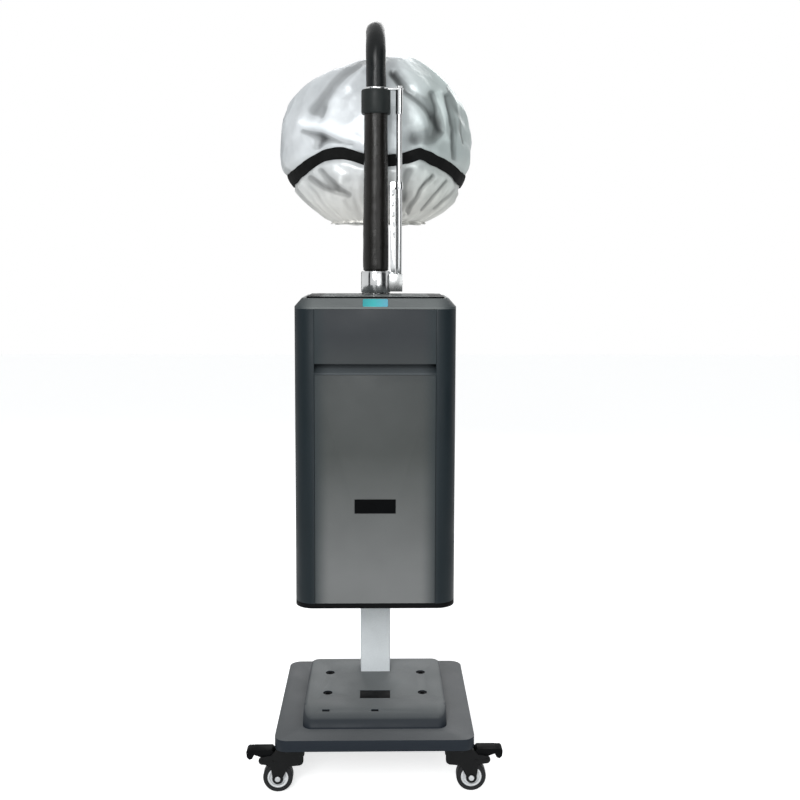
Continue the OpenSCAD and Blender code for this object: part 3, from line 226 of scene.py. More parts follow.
class Finish:
    """A material, with the node chains that these finishes share."""

    def __init__(self, name, roughness, metallic=0.0, **sockets):
        FINISH[name] = material = bpy.data.materials.new(name)
        material.use_nodes = True
        self.tree = material.node_tree
        self.shader = self.tree.nodes["Principled BSDF"]
        sockets.update(Roughness=roughness, Metallic=metallic)
        for socket, value in sockets.items():
            self.shader.inputs[socket.replace("_", " ")].default_value = value
        self.place = self.add("ShaderNodeTexCoord").outputs["Object"]

    def add(self, kind, feeds=(), **settings):
        """A new node; feeds gives each of its sockets a value, or links another node's output to it."""
        made = self.tree.nodes.new(kind)
        for name, value in settings.items():
            setattr(made, name, value)
        for socket, value in dict(feeds).items():
            if isinstance(value, bpy.types.NodeSocket):
                self.tree.links.new(value, made.inputs[socket])
            else:
                made.inputs[socket].default_value = value
        return made

    def noise(self, scale, detail, stretch=(1, 1, 1)):
        spot = self.add("ShaderNodeMapping", {"Vector": self.place, "Scale": stretch})
        feeds = {"Vector": spot.outputs[0], "Scale": scale, "Detail": detail, "Roughness": 0.5}
        return self.add("ShaderNodeTexNoise", feeds).outputs["Fac"]

    def ramp(self, factor, *stops):
        made = self.add("ShaderNodeValToRGB", {"Fac": factor})
        points = made.color_ramp.elements
        while len(points) < len(stops):
            points.new(0.5)
        for point, (place, color) in zip(points, stops):
            point.position = place
            point.color = color if hasattr(color, "__len__") else (color, color, color, 1)
        return made.outputs["Color"]

    def mix(self, factor, low, high, kind="MIX"):
        feeds = {0: factor, MIX_LOW: low, MIX_HIGH: high}
        return self.add("ShaderNodeMix", feeds, data_type="RGBA", blend_type=kind).outputs[MIX_RESULT]

    def maths(self, how, first, second=0.0):
        return self.add("ShaderNodeMath", {0: first, 1: second}, operation=how).outputs[0]

    def spread(self, value, low, high, **settings):
        """How far a value has gone from low to high, from 0 to 1."""
        feeds = {"Value": value, "From Min": low, "From Max": high}
        return self.add("ShaderNodeMapRange", feeds, **settings).outputs[0]

    def tinted(self, tone, tint):
        return self.mix(1.0, tone, tint, "MULTIPLY")

    def piece(self, name):
        """A value that the piece's own mesh carries."""
        return self.add("ShaderNodeAttribute", attribute_name=name).outputs["Fac"]

    def axis(self, letter):
        return self.add("ShaderNodeSeparateXYZ", {"Vector": self.place}).outputs[letter]

    def facing(self, letter):
        """How far a face points along an axis of the piece, from -1 to 1."""
        normal = self.add("ShaderNodeTexCoord").outputs["Normal"]
        return self.add("ShaderNodeSeparateXYZ", {"Vector": normal}).outputs[letter]

    def feed(self, socket, value):
        self.tree.links.new(value, self.shader.inputs[socket])

    def vary(self, scale, low, high, stretch=(1, 1, 1)):
        """Roughness between two values, in soft patches."""
        patch = self.noise(scale, 4, stretch)
        self.feed("Roughness", self.ramp(patch, (0.35, low), (0.65, high)))

    def bump(self, height, distance, under=None):
        feeds = {"Height": height, "Distance": distance, "Strength": 1.0}
        if under:
            feeds["Normal"] = under
        made = self.add("ShaderNodeBump", feeds).outputs["Normal"]
        self.feed("Normal", made)
        return made


def satin_paint(name, rise, *tones, edge=None, corner_shade=None):
    """Satin powder coat whose tone runs up between two heights, with fine orange peel and dust.

    Its corners' colour and reach, as (colour, (where it begins, where it is full)) measured out from the
    middle, give painted shade on rounded corners.
    """
    paint = Finish(name, 0.45, Specular_IOR_Level=0.12)
    # Tone by height: on the cabinet a painted reflection of the floor, lighter low down; on the base painted
    # shade, darker low down
    tone = paint.ramp(paint.spread(paint.axis("Z"), *rise), *tones)
    # Painted shade: the rounded corners darken out from the middle
    if corner_shade:
        shade, reach = corner_shade
        out = paint.maths("ABSOLUTE", paint.axis("X"))
        tone = paint.mix(paint.spread(out, *reach, interpolation_type="SMOOTHSTEP"), tone, shade)
    dust = paint.ramp(paint.noise(9, 5), (0.3, 0.92), (0.7, 1.06))
    fleck = paint.ramp(paint.noise(2200, 2), (0.42, 0.9), (0.6, 1.1))
    tone = paint.tinted(paint.tinted(tone, dust), fleck)
    # Faces that turn from the top take the edge colour: painted shade
    if edge:
        upward = paint.ramp(paint.facing("Z"), (0.3, 0.0), (0.8, 0.16), (1.0, 1.0))
        tone = paint.mix(upward, edge, tone)
    paint.feed("Base Color", tone)
    paint.vary(14, 0.4, 0.52)
    paint.bump(paint.noise(1400, 2), 0.00002)


def moulded(name, tone, roughness, grain=1500, depth=0.00003, **sockets):
    """Moulded plastic with a fine spark-eroded grain and slight handling marks."""
    plastic = Finish(name, roughness, **sockets)
    wear_and_crease_shade = plastic.ramp(plastic.noise(30, 5), (0.3, 0.86), (0.75, 1.12))
    plastic.feed("Base Color", plastic.tinted(tone, wear_and_crease_shade))
    plastic.vary(45, roughness - 0.07, roughness + 0.08)
    plastic.bump(plastic.noise(grain, 2), depth)


def metal(name, tone, low, high, stretch=(1, 1, 1)):
    """Plated or brushed metal: tone, two roughness levels and a faint grain."""
    plate = Finish(name, low, 1.0)
    stain = plate.ramp(plate.noise(18, 5), (0.3, 0.88), (0.75, 1.05))
    plate.feed("Base Color", plate.tinted(tone, stain))
    plate.vary(26, low, high, stretch)
    plate.bump(plate.noise(600, 3, stretch), 0.000004)


def foam_finish(name, tone, shine):
    """Closed-cell insulation foam: matt skin with small pits and a grey bloom."""
    foam = Finish(name, 0.5, Specular_IOR_Level=shine)
    bloom = foam.ramp(foam.noise(24, 5, (1, 1, 0.4)), (0.3, 0.75), (0.75, 1.3))
    foam.feed("Base Color", foam.tinted(tone, bloom))
    foam.vary(20, 0.24, 0.32)
    cells = foam.add("ShaderNodeTexVoronoi", {"Vector": foam.place, "Scale": 900.0}).outputs["Distance"]
    under = foam.bump(foam.noise(70, 4, (1, 1, 0.5)), 0.0006)
    foam.bump(cells, 0.00012, under)


def film_finish(name):
    """Silver-coated film: crinkled, greener to the right, warmer below, with painted shade in its folds and
    creases and a painted highlight on their crests and ridges.
    """
    film = Finish(name, 0.4, 0.3, Specular_IOR_Level=0.25)
    cast = film.ramp(film.noise(5, 4), (0.35, srgb(200, 205, 208)), (0.65, srgb(218, 222, 225)))
    cast = film.mix(film.spread(film.axis("X"), *FILM_RIGHT), cast, srgb(176, 186, 185))
    low = film.maths("MULTIPLY", film.spread(film.axis("Z"), *FILM_LOW), 0.8)
    cast = film.mix(low, cast, srgb(206, 204, 198))
    # Painted shade in the fold hollows and a painted highlight on the fold crests
    fold_shade_and_highlight = film.ramp(film.piece("fold"), (0.0, 0.34), (0.2, 0.66), (0.42, 0.95), (0.7, 1.02), (1.0, 1.2))
    # Painted shade along the creases and a painted highlight along the ridges
    crease = film.piece("crease")
    wear_and_crease_shade = film.ramp(crease, (0.0, 1.3), (CREASE_NONE, 1.0), (0.5, 0.94), (0.6, 0.6), (1.0, 0.4))
    film.feed("Base Color", film.tinted(film.tinted(cast, fold_shade_and_highlight), wear_and_crease_shade))
    film.vary(24, 0.38, 0.52)
    crumple = film.noise(17, 4, (1, 1, 0.7))
    crinkle = film.maths("ABSOLUTE", film.maths("SUBTRACT", crumple, 0.5))
    under = film.bump(crinkle, 0.0035)
    film.bump(film.noise(120, 3), 0.00015, under)


def lens_finish(name):
    """The lit window: turquoise that turns blue to the right, with a weak glow of its own."""
    lens = Finish(name, 0.25, Coat_Weight=0.2, Emission_Strength=0.26)
    across = lens.spread(lens.axis("X"), -LENS_HALF, LENS_HALF)
    glow = lens.ramp(across, (0.0, srgb(27, 131, 136)), (0.45, srgb(45, 153, 156)), (1.0, srgb(80, 146, 168)))
    lens.feed("Base Color", glow)
    lens.feed("Emission Color", glow)
    lens.bump(lens.noise(300, 2), 0.00002)


def printed_glass(name, tone, border):
    """Back-painted glass: another tone at its ends and round its edge, with faint wipe marks."""
    glass = Finish(name, 0.3, Specular_IOR_Level=0.01)
    out = glass.maths("ABSOLUTE", glass.axis("X"))
    ends = glass.spread(out, *GLASS_ENDS)
    side = glass.ramp(glass.facing("Z"), (0.5, 1.0), (0.8, 0.0))
    smear = glass.ramp(glass.noise(30, 5, (1, 0.3, 1)), (0.3, 0.9), (0.7, 1.04))
    black = glass.maths("MAXIMUM", ends, side)
    glass.feed("Base Color", glass.mix(black, glass.tinted(tone, smear), border))
    glass.vary(20, 0.3, 0.44)
    glass.bump(glass.noise(500, 2), 0.00001)


def clear_finish(name, tone, roughness):
    """Clear moulded plastic with a slight haze."""
    clear = Finish(name, roughness, Transmission_Weight=0.85, IOR=1.49)
    haze = clear.ramp(clear.noise(22, 4), (0.3, 0.93), (0.7, 1.0))
    clear.feed("Base Color", clear.tinted(tone, haze))
    clear.vary(30, roughness, roughness + 0.1)
    clear.bump(clear.noise(60, 2), 0.00005)


# The cabinet paints: lighter low down as a painted reflection of the floor, with painted shade on their
# corners
satin_paint("panel_paint", CABINET_REFLECTION_RISE, (0.1, srgb(115, 117, 117)), (0.51, srgb(70, 73, 72)),
            (0.74, srgb(68, 71, 71)), (0.9, srgb(51, 54, 57)), corner_shade=(srgb(42, 50, 53), CABINET_CORNER_SHADE))
satin_paint("shell_paint", CABINET_REFLECTION_RISE, (0.1, srgb(80, 84, 85)), (0.9, srgb(72, 77, 80)),
            corner_shade=(srgb(26, 34, 38), CABINET_CORNER_SHADE))
# Painted shade on the top cover's corners
satin_paint("top_paint", TOP_RISE, (0.0, srgb(106, 110, 110)), (1.0, srgb(106, 110, 110)),
            corner_shade=(srgb(62, 68, 70), TOP_CORNER_SHADE))
# Painted shade on the base: darker low down and on faces that turn from the top
satin_paint("base_paint", BASE_SHADE_RISE, (0.0, srgb(98, 101, 103)), (1.0, srgb(116, 120, 121)),
            edge=srgb(30, 36, 43))
satin_paint("column_paint", COLUMN_RISE, (0.0, srgb(212, 218, 221)), (1.0, srgb(222, 227, 229)))
moulded("black_metal", srgb(11, 12, 13), 0.42, Specular_IOR_Level=0.12)
moulded("black_plastic", srgb(9, 10, 11), 0.55, Specular_IOR_Level=0.05)
moulded("cap_plastic", srgb(32, 36, 36), 0.5, Specular_IOR_Level=0.15)
foam_finish("black_foam", srgb(19, 18, 16), 0.22)
foam_finish("arch_foam", srgb(18, 21, 22), 0.2)
metal("chrome", srgb(206, 208, 209), 0.12, 0.24)
metal("dull_chrome", srgb(158, 160, 160), 0.2, 0.34)
metal("steel", srgb(186, 188, 190), 0.26, 0.42)
moulded("iron", srgb(44, 45, 46), 0.6, 400, 0.0002)
moulded("wheel_core", srgb(214, 216, 218), 0.35)
moulded("tyre", srgb(24, 25, 27), 0.6, 900, 0.00005, Specular_IOR_Level=0.2)
printed_glass("glass", srgb(112, 116, 116), srgb(8, 10, 11))
lens_finish("cyan_lens")
clear_finish("tank_plastic", srgb(206, 224, 234), 0.25)
moulded("white_plastic", srgb(222, 226, 226), 0.45)
metal("sheet_steel", srgb(176, 179, 182), 0.34, 0.5, (1, 1, 0.1))
metal("aluminium", srgb(190, 191, 194), 0.3, 0.46, (0.1, 1, 1))
moulded("board", srgb(42, 104, 66), 0.4)
moulded("red_plastic", srgb(170, 36, 30), 0.3)
film_finish("film")
moulded("elastic", srgb(14, 15, 15), 0.75, 700, 0.0002, Specular_IOR_Level=0.1)
moulded("badge", srgb(5, 6, 7), 0.5, Specular_IOR_Level=0.03)

SLOT_OF = {part["node"]: part["material_slot"] for part in frame["record"]["subparts"]}


def paint_nodes():
    """Gives each CAD node the finish of its slot."""
    for name, node in frame["nodes"].items():
        node.data.materials.clear()
        node.data.materials.append(FINISH[SLOT_OF[name]])


# Making and placing pieces

# The CAD slots of the finishes that have a name of their own, and the nodes that such a finish goes on
FINISH_OF = {"top_cover": "top_paint", "riser_cap": "cap_plastic", "clamp_block": "dull_chrome",
             "clamp_knob": "dull_chrome", "swivel_flange": "dull_chrome"}


def finished(name, shape, finish, body, replaced=(), sharp=40):
    """Turns a bmesh into a piece that rides on a body, with edges sharp past an angle."""
    mesh = bpy.data.meshes.new(name)
    bmesh.ops.recalc_face_normals(shape, faces=shape.faces)
    shape.to_mesh(mesh)
    shape.free()
    mesh.shade_smooth()
    mesh.set_sharp_from_angle(angle=math.radians(sharp))
    piece = bpy.data.objects.new(name, mesh)
    bpy.context.collection.objects.link(piece)
    mesh.materials.append(FINISH[finish])
    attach(piece, body)
    if replaced:
        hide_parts(*replaced)
    return piece


def spun(outline, steps):
    """A bmesh that an outline of (radius, height) points makes in a full turn."""
    shape = bmesh.new()
    chain = [shape.verts.new((r, 0, z)) for r, z in outline]
    edges = [shape.edges.new(pair) for pair in zip(chain, chain[1:])]
    bmesh.ops.spin(shape, geom=chain + edges, cent=(0, 0, 0), axis=(0, 0, 1), angle=2 * math.pi,
                   steps=steps, use_merge=True)
    return shape


BODY_OF = {node: body for body, nodes in frame["record"]["behaviour"]["bodies"].items() for node in nodes}
# Doubles merge within this, faces join under the flat angle, and edges over the sharp angle are rounded
MERGE = 0.02 * MM
FLAT_ANGLE = math.radians(0.6)
EDGE_ANGLE = math.radians(32)


def soften(node, width):
    """Makes a copy of a CAD node with its doubles merged and its edges rounded to a width in millimetres."""
    shape = bmesh.new()
    shape.from_mesh(frame["nodes"][node].data)
    bmesh.ops.remove_doubles(shape, verts=shape.verts, dist=MERGE)
    bmesh.ops.dissolve_limit(shape, angle_limit=FLAT_ANGLE, verts=shape.verts, edges=shape.edges)
    edges = [e for e in shape.edges if e.is_manifold and e.calc_face_angle() > EDGE_ANGLE]
    bmesh.ops.bevel(shape, geom=edges, offset=width * MM, offset_type="OFFSET", affect="EDGES",
                    segments=2, profile=0.5, material=-1, clamp_overlap=True)
    finished(node + "_finish", shape, FINISH_OF.get(node, SLOT_OF[node]), BODY_OF[node], [node])


# Hood: the film keeps the CAD hood's outline, and its folds are worked out place by place

HOOD_LOW, HOOD_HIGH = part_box("hood")
RING_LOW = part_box("hood_ring")[0]
HOOD_X = (HOOD_LOW.x + HOOD_HIGH.x) / 2
HOOD_Y = (HOOD_LOW.y + HOOD_HIGH.y) / 2
# Half the hood's width and depth at its widest, the neck's and the rim's radius, and the skirt's height
HOOD_WIDE = 0.228
HOOD_DEEP = 0.185
NECK_WIDE = 0.098
RIM = 0.029
SKIRT = 0.16
HOOD_MID = HOOD_LOW.z + SKIRT
DOME = HOOD_HIGH.z - HOOD_MID
BULGE = 2.2
FILM_STEPS = 300
DOME_ROWS = 80
SKIRT_ROWS = 66
FRILL_ROWS = 4
FRILL = 0.004
FRILL_FLARE = 0.004
# The film meets the rim over this much of its radius
RIM_EASE = 0.012
FILM_THICK = 0.0005
BAND_WIDE = 0.0255
BAND_THICK = 0.0022
BAND_ROWS = 6
BAND_STEPS = 260
# How far the film and the band lie inside the hood's outline
LEAN = 0.003
# The hood leans right at its shoulder and hangs fuller on that side: (how much, height over the middle)
SHOULDER = (0.016, 0.19)
FULLER = ((0.006, 0.13), (0.016, -0.125))
FULL_SPREAD = 0.04
# The crown's rise on the right and its drop on the left, most at this radius and none at the widest ring
CROWN_RISE = 0.011
CROWN_DROP = 0.006
CROWN_RADIUS = 0.085
CROWN_SPREAD = 0.045
CROWN_FADE = 0.1
# Depths of the film's folds; a crumple is (depth, how many to a metre, seed)
CRUMPLE = ((0.0036, 8, 1.3), (0.0020, 19, 5.1), (0.0006, 44, 2.2))
GATHER = 0.0042
SWAG = 0.0060
TOP_PLEAT = 0.0042
NECK_PLEAT = 0.0085
NECK_TUCK = 0.0028
SLACK = 0.006
PINCH = 0.003
# How far from the band's middle the film is gathered, lies smooth and is pinched in
GATHER_REACH = 0.026
CALM_REACH = 0.02
PINCH_REACH = 0.016
# The creases fade out over this depth towards the sides, and wander this far from their lines
CREASE_FADE = 0.08
CREASE_WANDER = 0.004


def dome_place(share):
    """Radius and height on the dome, from its rim at 0 to its widest ring at 1."""
    low = math.asin((RIM / HOOD_WIDE) ** (BULGE / 2))
    turn = low + (math.pi / 2 - low) * share
    return HOOD_WIDE * math.sin(turn) ** (2 / BULGE), HOOD_MID + DOME * max(math.cos(turn), 0) ** (2 / BULGE)


def skirt_radius(z):
    """The outline below the widest ring, which draws in to the neck."""
    drop = min(max((HOOD_MID - z) / SKIRT, 0), 1)
    return NECK_WIDE + (HOOD_WIDE - NECK_WIDE) * math.cos(math.pi / 2 * drop) ** 0.8


def film_radius(z):
    if z < HOOD_MID:
        return skirt_radius(z)
    return HOOD_WIDE * max(1 - ((z - HOOD_MID) / DOME) ** BULGE, 0) ** (1 / BULGE)


def ridge(place, seed):
    """Sharp-crested noise, from -1 to 1."""
    return 1 - 2.6 * abs(noise.noise(Vector(place) + Vector((seed, 3.7 * seed, -seed))))


def pleats(turn, count, seed, drift=0.0):
    """Uneven folds round the hood; drift lets them wander as they run."""
    radius = count / (2 * math.pi)
    return ridge((math.cos(turn) * radius, math.sin(turn) * radius, drift), seed)


def bell(value, middle, spread):
    """A smooth hump of height 1."""
    return math.exp(-((value - middle) / spread) ** 2)


# The elastic band's middle, as (degrees from the control side, height): a round crest and a pointed one
BAND_LINE = (
    (-180, 0.040), (-140, 0.020), (-110, 0.004), (-85, 0.000), (-63, 0.0095), (-51, 0.0215), (-42, 0.0335),
    (-31, 0.0490), (-24, 0.0520), (-19, 0.0515), (-13, 0.0455), (-7, 0.0375), (0, 0.0335), (6, 0.0355),
    (14, 0.0395), (20, 0.0455), (26, 0.0540), (37, 0.0400), (51, 0.0250), (65, 0.0095), (74, 0.0050),
    (90, 0.000), (110, 0.002), (140, 0.020), (180, 0.040),
)
# How far the band's heights start below the hood's widest ring
BAND_LOW = 0.066


def band_height(turn):
    """The height of the band's middle, with a slight sway."""
    side = (math.degrees(turn) - 270 + 180) % 360 - 180
    for (start, low), (end, high) in zip(BAND_LINE, BAND_LINE[1:]):
        if side <= end:
            break
    sway = 0.002 * noise.noise(Vector((math.cos(turn) * 2, math.sin(turn) * 2, 8.3)))
    share = (side - start) / (end - start)
    return HOOD_MID - BAND_LOW + low + (high - low) * share + sway


def film_spot(turn, z, radius, out):
    """A point of the film, with the oval plan and the lopsided fullness that it hangs in."""
    right = math.cos(turn)
    more, height = SHOULDER
    radius += more * right * bell(z, HOOD_MID + height, FULL_SPREAD)
    for more, height in FULLER:
        radius += more * max(right, 0) * bell(z, HOOD_MID + height, FULL_SPREAD)
    squeeze = 1 - (1 - HOOD_DEEP / HOOD_WIDE) * max(radius - RIM, 0) / (HOOD_WIDE - RIM)
    lift = CROWN_RISE * max(right, 0) - CROWN_DROP * max(-right, 0)
    lift *= bell(radius, CROWN_RADIUS, CROWN_SPREAD) * min(max((z - HOOD_MID) / CROWN_FADE, 0), 1)
    across, along = (radius + out) * right, (radius * squeeze + out) * math.sin(turn)
    return Vector((HOOD_X + across, HOOD_Y + along, z + lift))


# Creases on the control side, as (depth, half width, line of (x, z) places); a ridge has a negative depth.
# Each crease also paints shade into the film, and each ridge a highlight
CREASES = (
    (0.010, 0.011, ((0.040, 1.486), (0.070, 1.441), (0.102, 1.419), (0.124, 1.390))),
    (0.010, 0.012, ((0.128, 1.440), (0.139, 1.391), (0.150, 1.361))),
    (-0.006, 0.008, ((0.142, 1.448), (0.157, 1.395), (0.162, 1.340))),
    (0.008, 0.007, ((0.160, 1.440), (0.177, 1.370), (0.178, 1.300))),
    (0.006, 0.007, ((0.161, 1.462), (0.191, 1.397), (0.204, 1.340))),
    (0.008, 0.022, ((0.094, 1.338), (0.126, 1.346), (0.140, 1.372))),
    (0.007, 0.020, ((-0.022, 1.525), (-0.054, 1.497), (-0.094, 1.462), (-0.116, 1.431), (-0.136, 1.403))),
    (-0.005, 0.008, ((-0.026, 1.505), (-0.063, 1.455))),
    (0.004, 0.008, ((-0.116, 1.407), (-0.123, 1.372))),
    (-0.008, 0.011, ((-0.168, 1.381), (-0.110, 1.364), (-0.047, 1.336))),
    (0.007, 0.009, ((-0.163, 1.360), (-0.116, 1.336), (-0.054, 1.324))),
    (0.008, 0.014, ((-0.132, 1.320), (-0.122, 1.336))),
    (-0.007, 0.006, ((-0.086, 1.269), (-0.072, 1.257), (-0.077, 1.240))),
    (0.007, 0.009, ((-0.161, 1.259), (-0.116, 1.232), (-0.063, 1.215))),
    (0.007, 0.009, ((-0.123, 1.270), (-0.086, 1.233))),
    (0.009, 0.006, ((0.130, 1.259), (0.100, 1.225), (0.070, 1.178))),
    (0.007, 0.005, ((0.163, 1.252), (0.135, 1.219), (0.107, 1.185))),
    (0.007, 0.012, ((0.072, 1.268), (0.063, 1.235), (0.059, 1.206))),
    (0.006, 0.006, ((0.191, 1.240), (0.161, 1.209), (0.137, 1.188))),
)


def wander(place):
    """An uneven step in x and z. It is made of two plain noises, as noise_vector changes with each run."""
    return Vector((noise.noise(place), noise.noise(place + Vector((5.2, 1.3, 8.1)))))


def crease_depth(spot):
    """How far the creases push the film in at a place; they fade away from their lines."""
    ahead = min(max((HOOD_Y - spot.y) / CREASE_FADE, 0), 1)
    if not ahead:
        return 0.0
    here = Vector((spot.x, spot.z)) + CREASE_WANDER * wander(spot * 24)
    depth = 0.0
    for deep, wide, line in CREASES:
        nearest = 1.0
        for start, end in zip(line, line[1:]):
            start, end = Vector(start), Vector(end)
            along = min(max((here - start).dot(end - start) / (end - start).length_squared, 0), 1)
            nearest = min(nearest, (here - start.lerp(end, along)).length)
        depth += deep * math.exp(-(nearest / wide) ** 1.4)
    return depth * ahead ** 1.5


def film_out(turn, z, radius):
    """How far the film stands off its outline, the part of it that is folds, and the depth of the creases."""
    spot = film_spot(turn, z, radius, 0)
    above = min(max((z - HOOD_MID) / DOME, 0), 1)
    below = min(max((HOOD_MID - z) / SKIRT, 0), 1)
    from_band = z - band_height(turn)
    near = math.exp(-abs(from_band) / GATHER_REACH)
    calm = 1 - math.exp(-(from_band / CALM_REACH) ** 4)
    crumple = sum(deep * ridge(spot * scale, seed) for deep, scale, seed in CRUMPLE) * calm
    gather = GATHER * pleats(turn, 34, 4.2, z * 6) * near * (0.3 + 0.7 * calm)
    swags = SWAG * max(pleats(turn + 0.5 * (z - HOOD_MID), 15, 6.4, z * 1.2), -0.3)
    swags *= min(above * 3, 1) * calm
    top = TOP_PLEAT * pleats(turn, 19, 9.1, z * 3) * above ** 3 * min((1 - above) * 12 + 0.25, 1)
    neck = NECK_PLEAT * pleats(turn, 22, 7.7, z * 5) + NECK_TUCK * pleats(turn, 60, 3.1, z * 9)
    neck *= below ** 0.9 * calm
    crease = crease_depth(spot) * calm
    folds = crumple + gather + swags + top + neck - crease
    slack = SLACK * noise.noise(spot * 4.5 + Vector((2.2, 0, 5))) * calm - LEAN
    pinch = -PINCH * bell(from_band, 0, PINCH_REACH)
    return folds + slack + pinch, folds, crease


def make_film():
    """The film, spun from the outline and pushed in and out; it carries its folds and creases, from which the
    finish paints shade and highlights.
    """
    outline = [dome_place(i / DOME_ROWS) for i in range(DOME_ROWS)]
    for i in range(SKIRT_ROWS + 1):
        z = HOOD_MID - SKIRT * i / SKIRT_ROWS
        outline.append((skirt_radius(z), z))
    for i in range(1, FRILL_ROWS + 1):
        share = i / FRILL_ROWS
        outline.append((NECK_WIDE + FRILL_FLARE * share, HOOD_LOW.z - FRILL * share))
    shape = spun(outline, FILM_STEPS)
    # The fold and crease layers carry what the finish turns into painted shade and highlights
    fold = shape.verts.layers.float.new("fold")
    wear_and_crease_shade = shape.verts.layers.float.new("crease")
    for v in shape.verts:
        turn = math.atan2(v.co.y, v.co.x)
        radius, z = Vector((v.co.x, v.co.y)).length, v.co.z
        frill = max(HOOD_LOW.z - z, 0) / FRILL
        out, folds, crease = film_out(turn, z, radius)
        v[fold] = min(max(0.5 + folds / FOLD_SPAN, 0), 1)
        v[wear_and_crease_shade] = min(max(CREASE_NONE + crease / CREASE_SPAN, 0), 1)
        out += 0.002 * frill * pleats(turn, 40, 3.3, 2.0)
        if radius < RIM + RIM_EASE:
            out = max(out, 0.0) * (radius - RIM) / RIM_EASE
        spot = film_spot(turn, z, radius, out)
        spot.z += 0.003 * frill * noise.noise(Vector((math.cos(turn) * 4, math.sin(turn) * 4, 6.6)))
        v.co = spot
    film = finished("hood_film", shape, "film", BODY_OF["hood"], ["hood"], sharp=180)
    wall = film.modifiers.new("thickness", "SOLIDIFY")
    wall.thickness = FILM_THICK
    wall.offset = -1
    return film


def make_band():
    """The elastic band, a ribbed strip that lies on the film."""
    shape = bmesh.new()
    rings = []
    for i in range(BAND_STEPS):
        turn = 2 * math.pi * i / BAND_STEPS
        middle = band_height(turn)
        uneven = noise.noise(Vector((math.cos(turn) * 9, math.sin(turn) * 9, 4.1)))
        half = BAND_WIDE / 2 * (1 + 0.12 * uneven)
        rib = 0.0009 * math.sin(130 * turn)
        ring = []
        for j in range(BAND_ROWS + 1):
            share = j / BAND_ROWS * 2 - 1
            z = middle + half * share
            crown = 0.0012 * (1 - share * share)
            out = crown - LEAN + rib * abs(share) + 0.0008 * pleats(turn, 60, 2.9, 0.4 * share)
            ring.append(shape.verts.new(film_spot(turn, z, film_radius(z), out)))
        rings.append(ring)
    for ring, after in zip(rings, rings[1:] + rings[:1]):
        for j in range(BAND_ROWS):
            shape.faces.new((ring[j], after[j], after[j + 1], ring[j + 1]))
    band = finished("elastic_band", shape, "elastic", BODY_OF["hood_band"], ["hood_band"], sharp=180)
    wall = band.modifiers.new("thickness", "SOLIDIFY")
    wall.thickness = BAND_THICK
    wall.offset = 1
    smooth = band.modifiers.new("smooth", "SUBSURF")
    smooth.levels = smooth.render_levels = 1
    return band


paint_nodes()
film = make_film()
band = make_band()


# Riser and arch: black foam insulation

SLEEVE_LOW, SLEEVE_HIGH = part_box("riser_sleeve")
DUCT_LOW, DUCT_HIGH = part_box("arch_duct")
MAST_Y = (SLEEVE_LOW.y + SLEEVE_HIGH.y) / 2
DUCT_R = (DUCT_HIGH.x - DUCT_LOW.x) / 2
# The sleeve's radii at its foot, its top and its bore, the length of its taper, and its cut ends
SLEEVE_FOOT = 0.028
SLEEVE_TOP = 0.0253
SLEEVE_BORE = 0.0222
SLEEVE_TAPER = 0.337
SLEEVE_CHAMFER = 0.002
SLEEVE_ROWS = 90
SLEEVE_STEPS = 72
# The arch's middle line: the radii of its two bends, its highest place and its end inside the hood
BEND_NEAR = 0.08
BEND_FAR = 0.03
APEX = DUCT_HIGH.z - DUCT_R
DROP_END = RING_LOW.z - 0.02
# Which way the near bend's inside faces, and how far before the hood's axis that bend has ended
NEAR_INSIDE = Vector((0, 0.5, -1)).normalized()
NEAR_ENDS = 0.07
DUCT_SIDES = 56
DUCT_STEP = 0.0045
# Nothing stands off the arch further than this
DUCT_SLACK = 0.0012


def make_sleeve():
    """The tube of foam on the riser: a slack outline, soft dents and a hand-cut lower edge."""
    length = SLEEVE_HIGH.z - SLEEVE_LOW.z
    bare = length - 2 * SLEEVE_CHAMFER
    outline = [(SLEEVE_BORE, 0), (SLEEVE_FOOT - SLEEVE_CHAMFER, 0)]
    for i in range(SLEEVE_ROWS + 1):
        share = i / SLEEVE_ROWS
        radius = SLEEVE_FOOT + (SLEEVE_TOP - SLEEVE_FOOT) * min(share * length / SLEEVE_TAPER, 1)
        outline.append((radius, SLEEVE_CHAMFER + bare * share))
    outline += [(SLEEVE_TOP - SLEEVE_CHAMFER, length), (SLEEVE_BORE, length), (SLEEVE_BORE, 0)]
    shape = spun(outline, SLEEVE_STEPS)
    bmesh.ops.remove_doubles(shape, verts=shape.verts, dist=0.01 * MM)
    bmesh.ops.translate(shape, verts=shape.verts, vec=(0, MAST_Y, SLEEVE_LOW.z))
    for v in shape.verts:
        flat = Vector((v.co.x, v.co.y - MAST_Y))
        turn, rise = math.atan2(flat.y, flat.x), v.co.z - SLEEVE_LOW.z
        if flat.length < SLEEVE_BORE + 1 * MM:
            continue
        dent = 0.0006 * noise.noise(v.co * 22) + 0.0004 * noise.noise(v.co * 60)
        dent -= 0.0008 * bell(rise, 0.004, 0.004)
        slit = -0.0012 * math.exp(-abs((math.degrees(turn) - 90 + 180) % 360 - 180) / 2.5)
        flat *= (flat.length + dent + slit) / flat.length
        v.co.x, v.co.y = flat.x, MAST_Y + flat.y
        edge = max(1 - rise / 0.006, 0)
        uneven = noise.noise(Vector((math.cos(turn) * 2, math.sin(turn) * 2, 1.7)))
        v.co.z += edge * 0.0016 * (1 + uneven)
    finished("foam_sleeve", shape, "black_foam", BODY_OF["riser_sleeve"], ["riser_sleeve"], sharp=60)


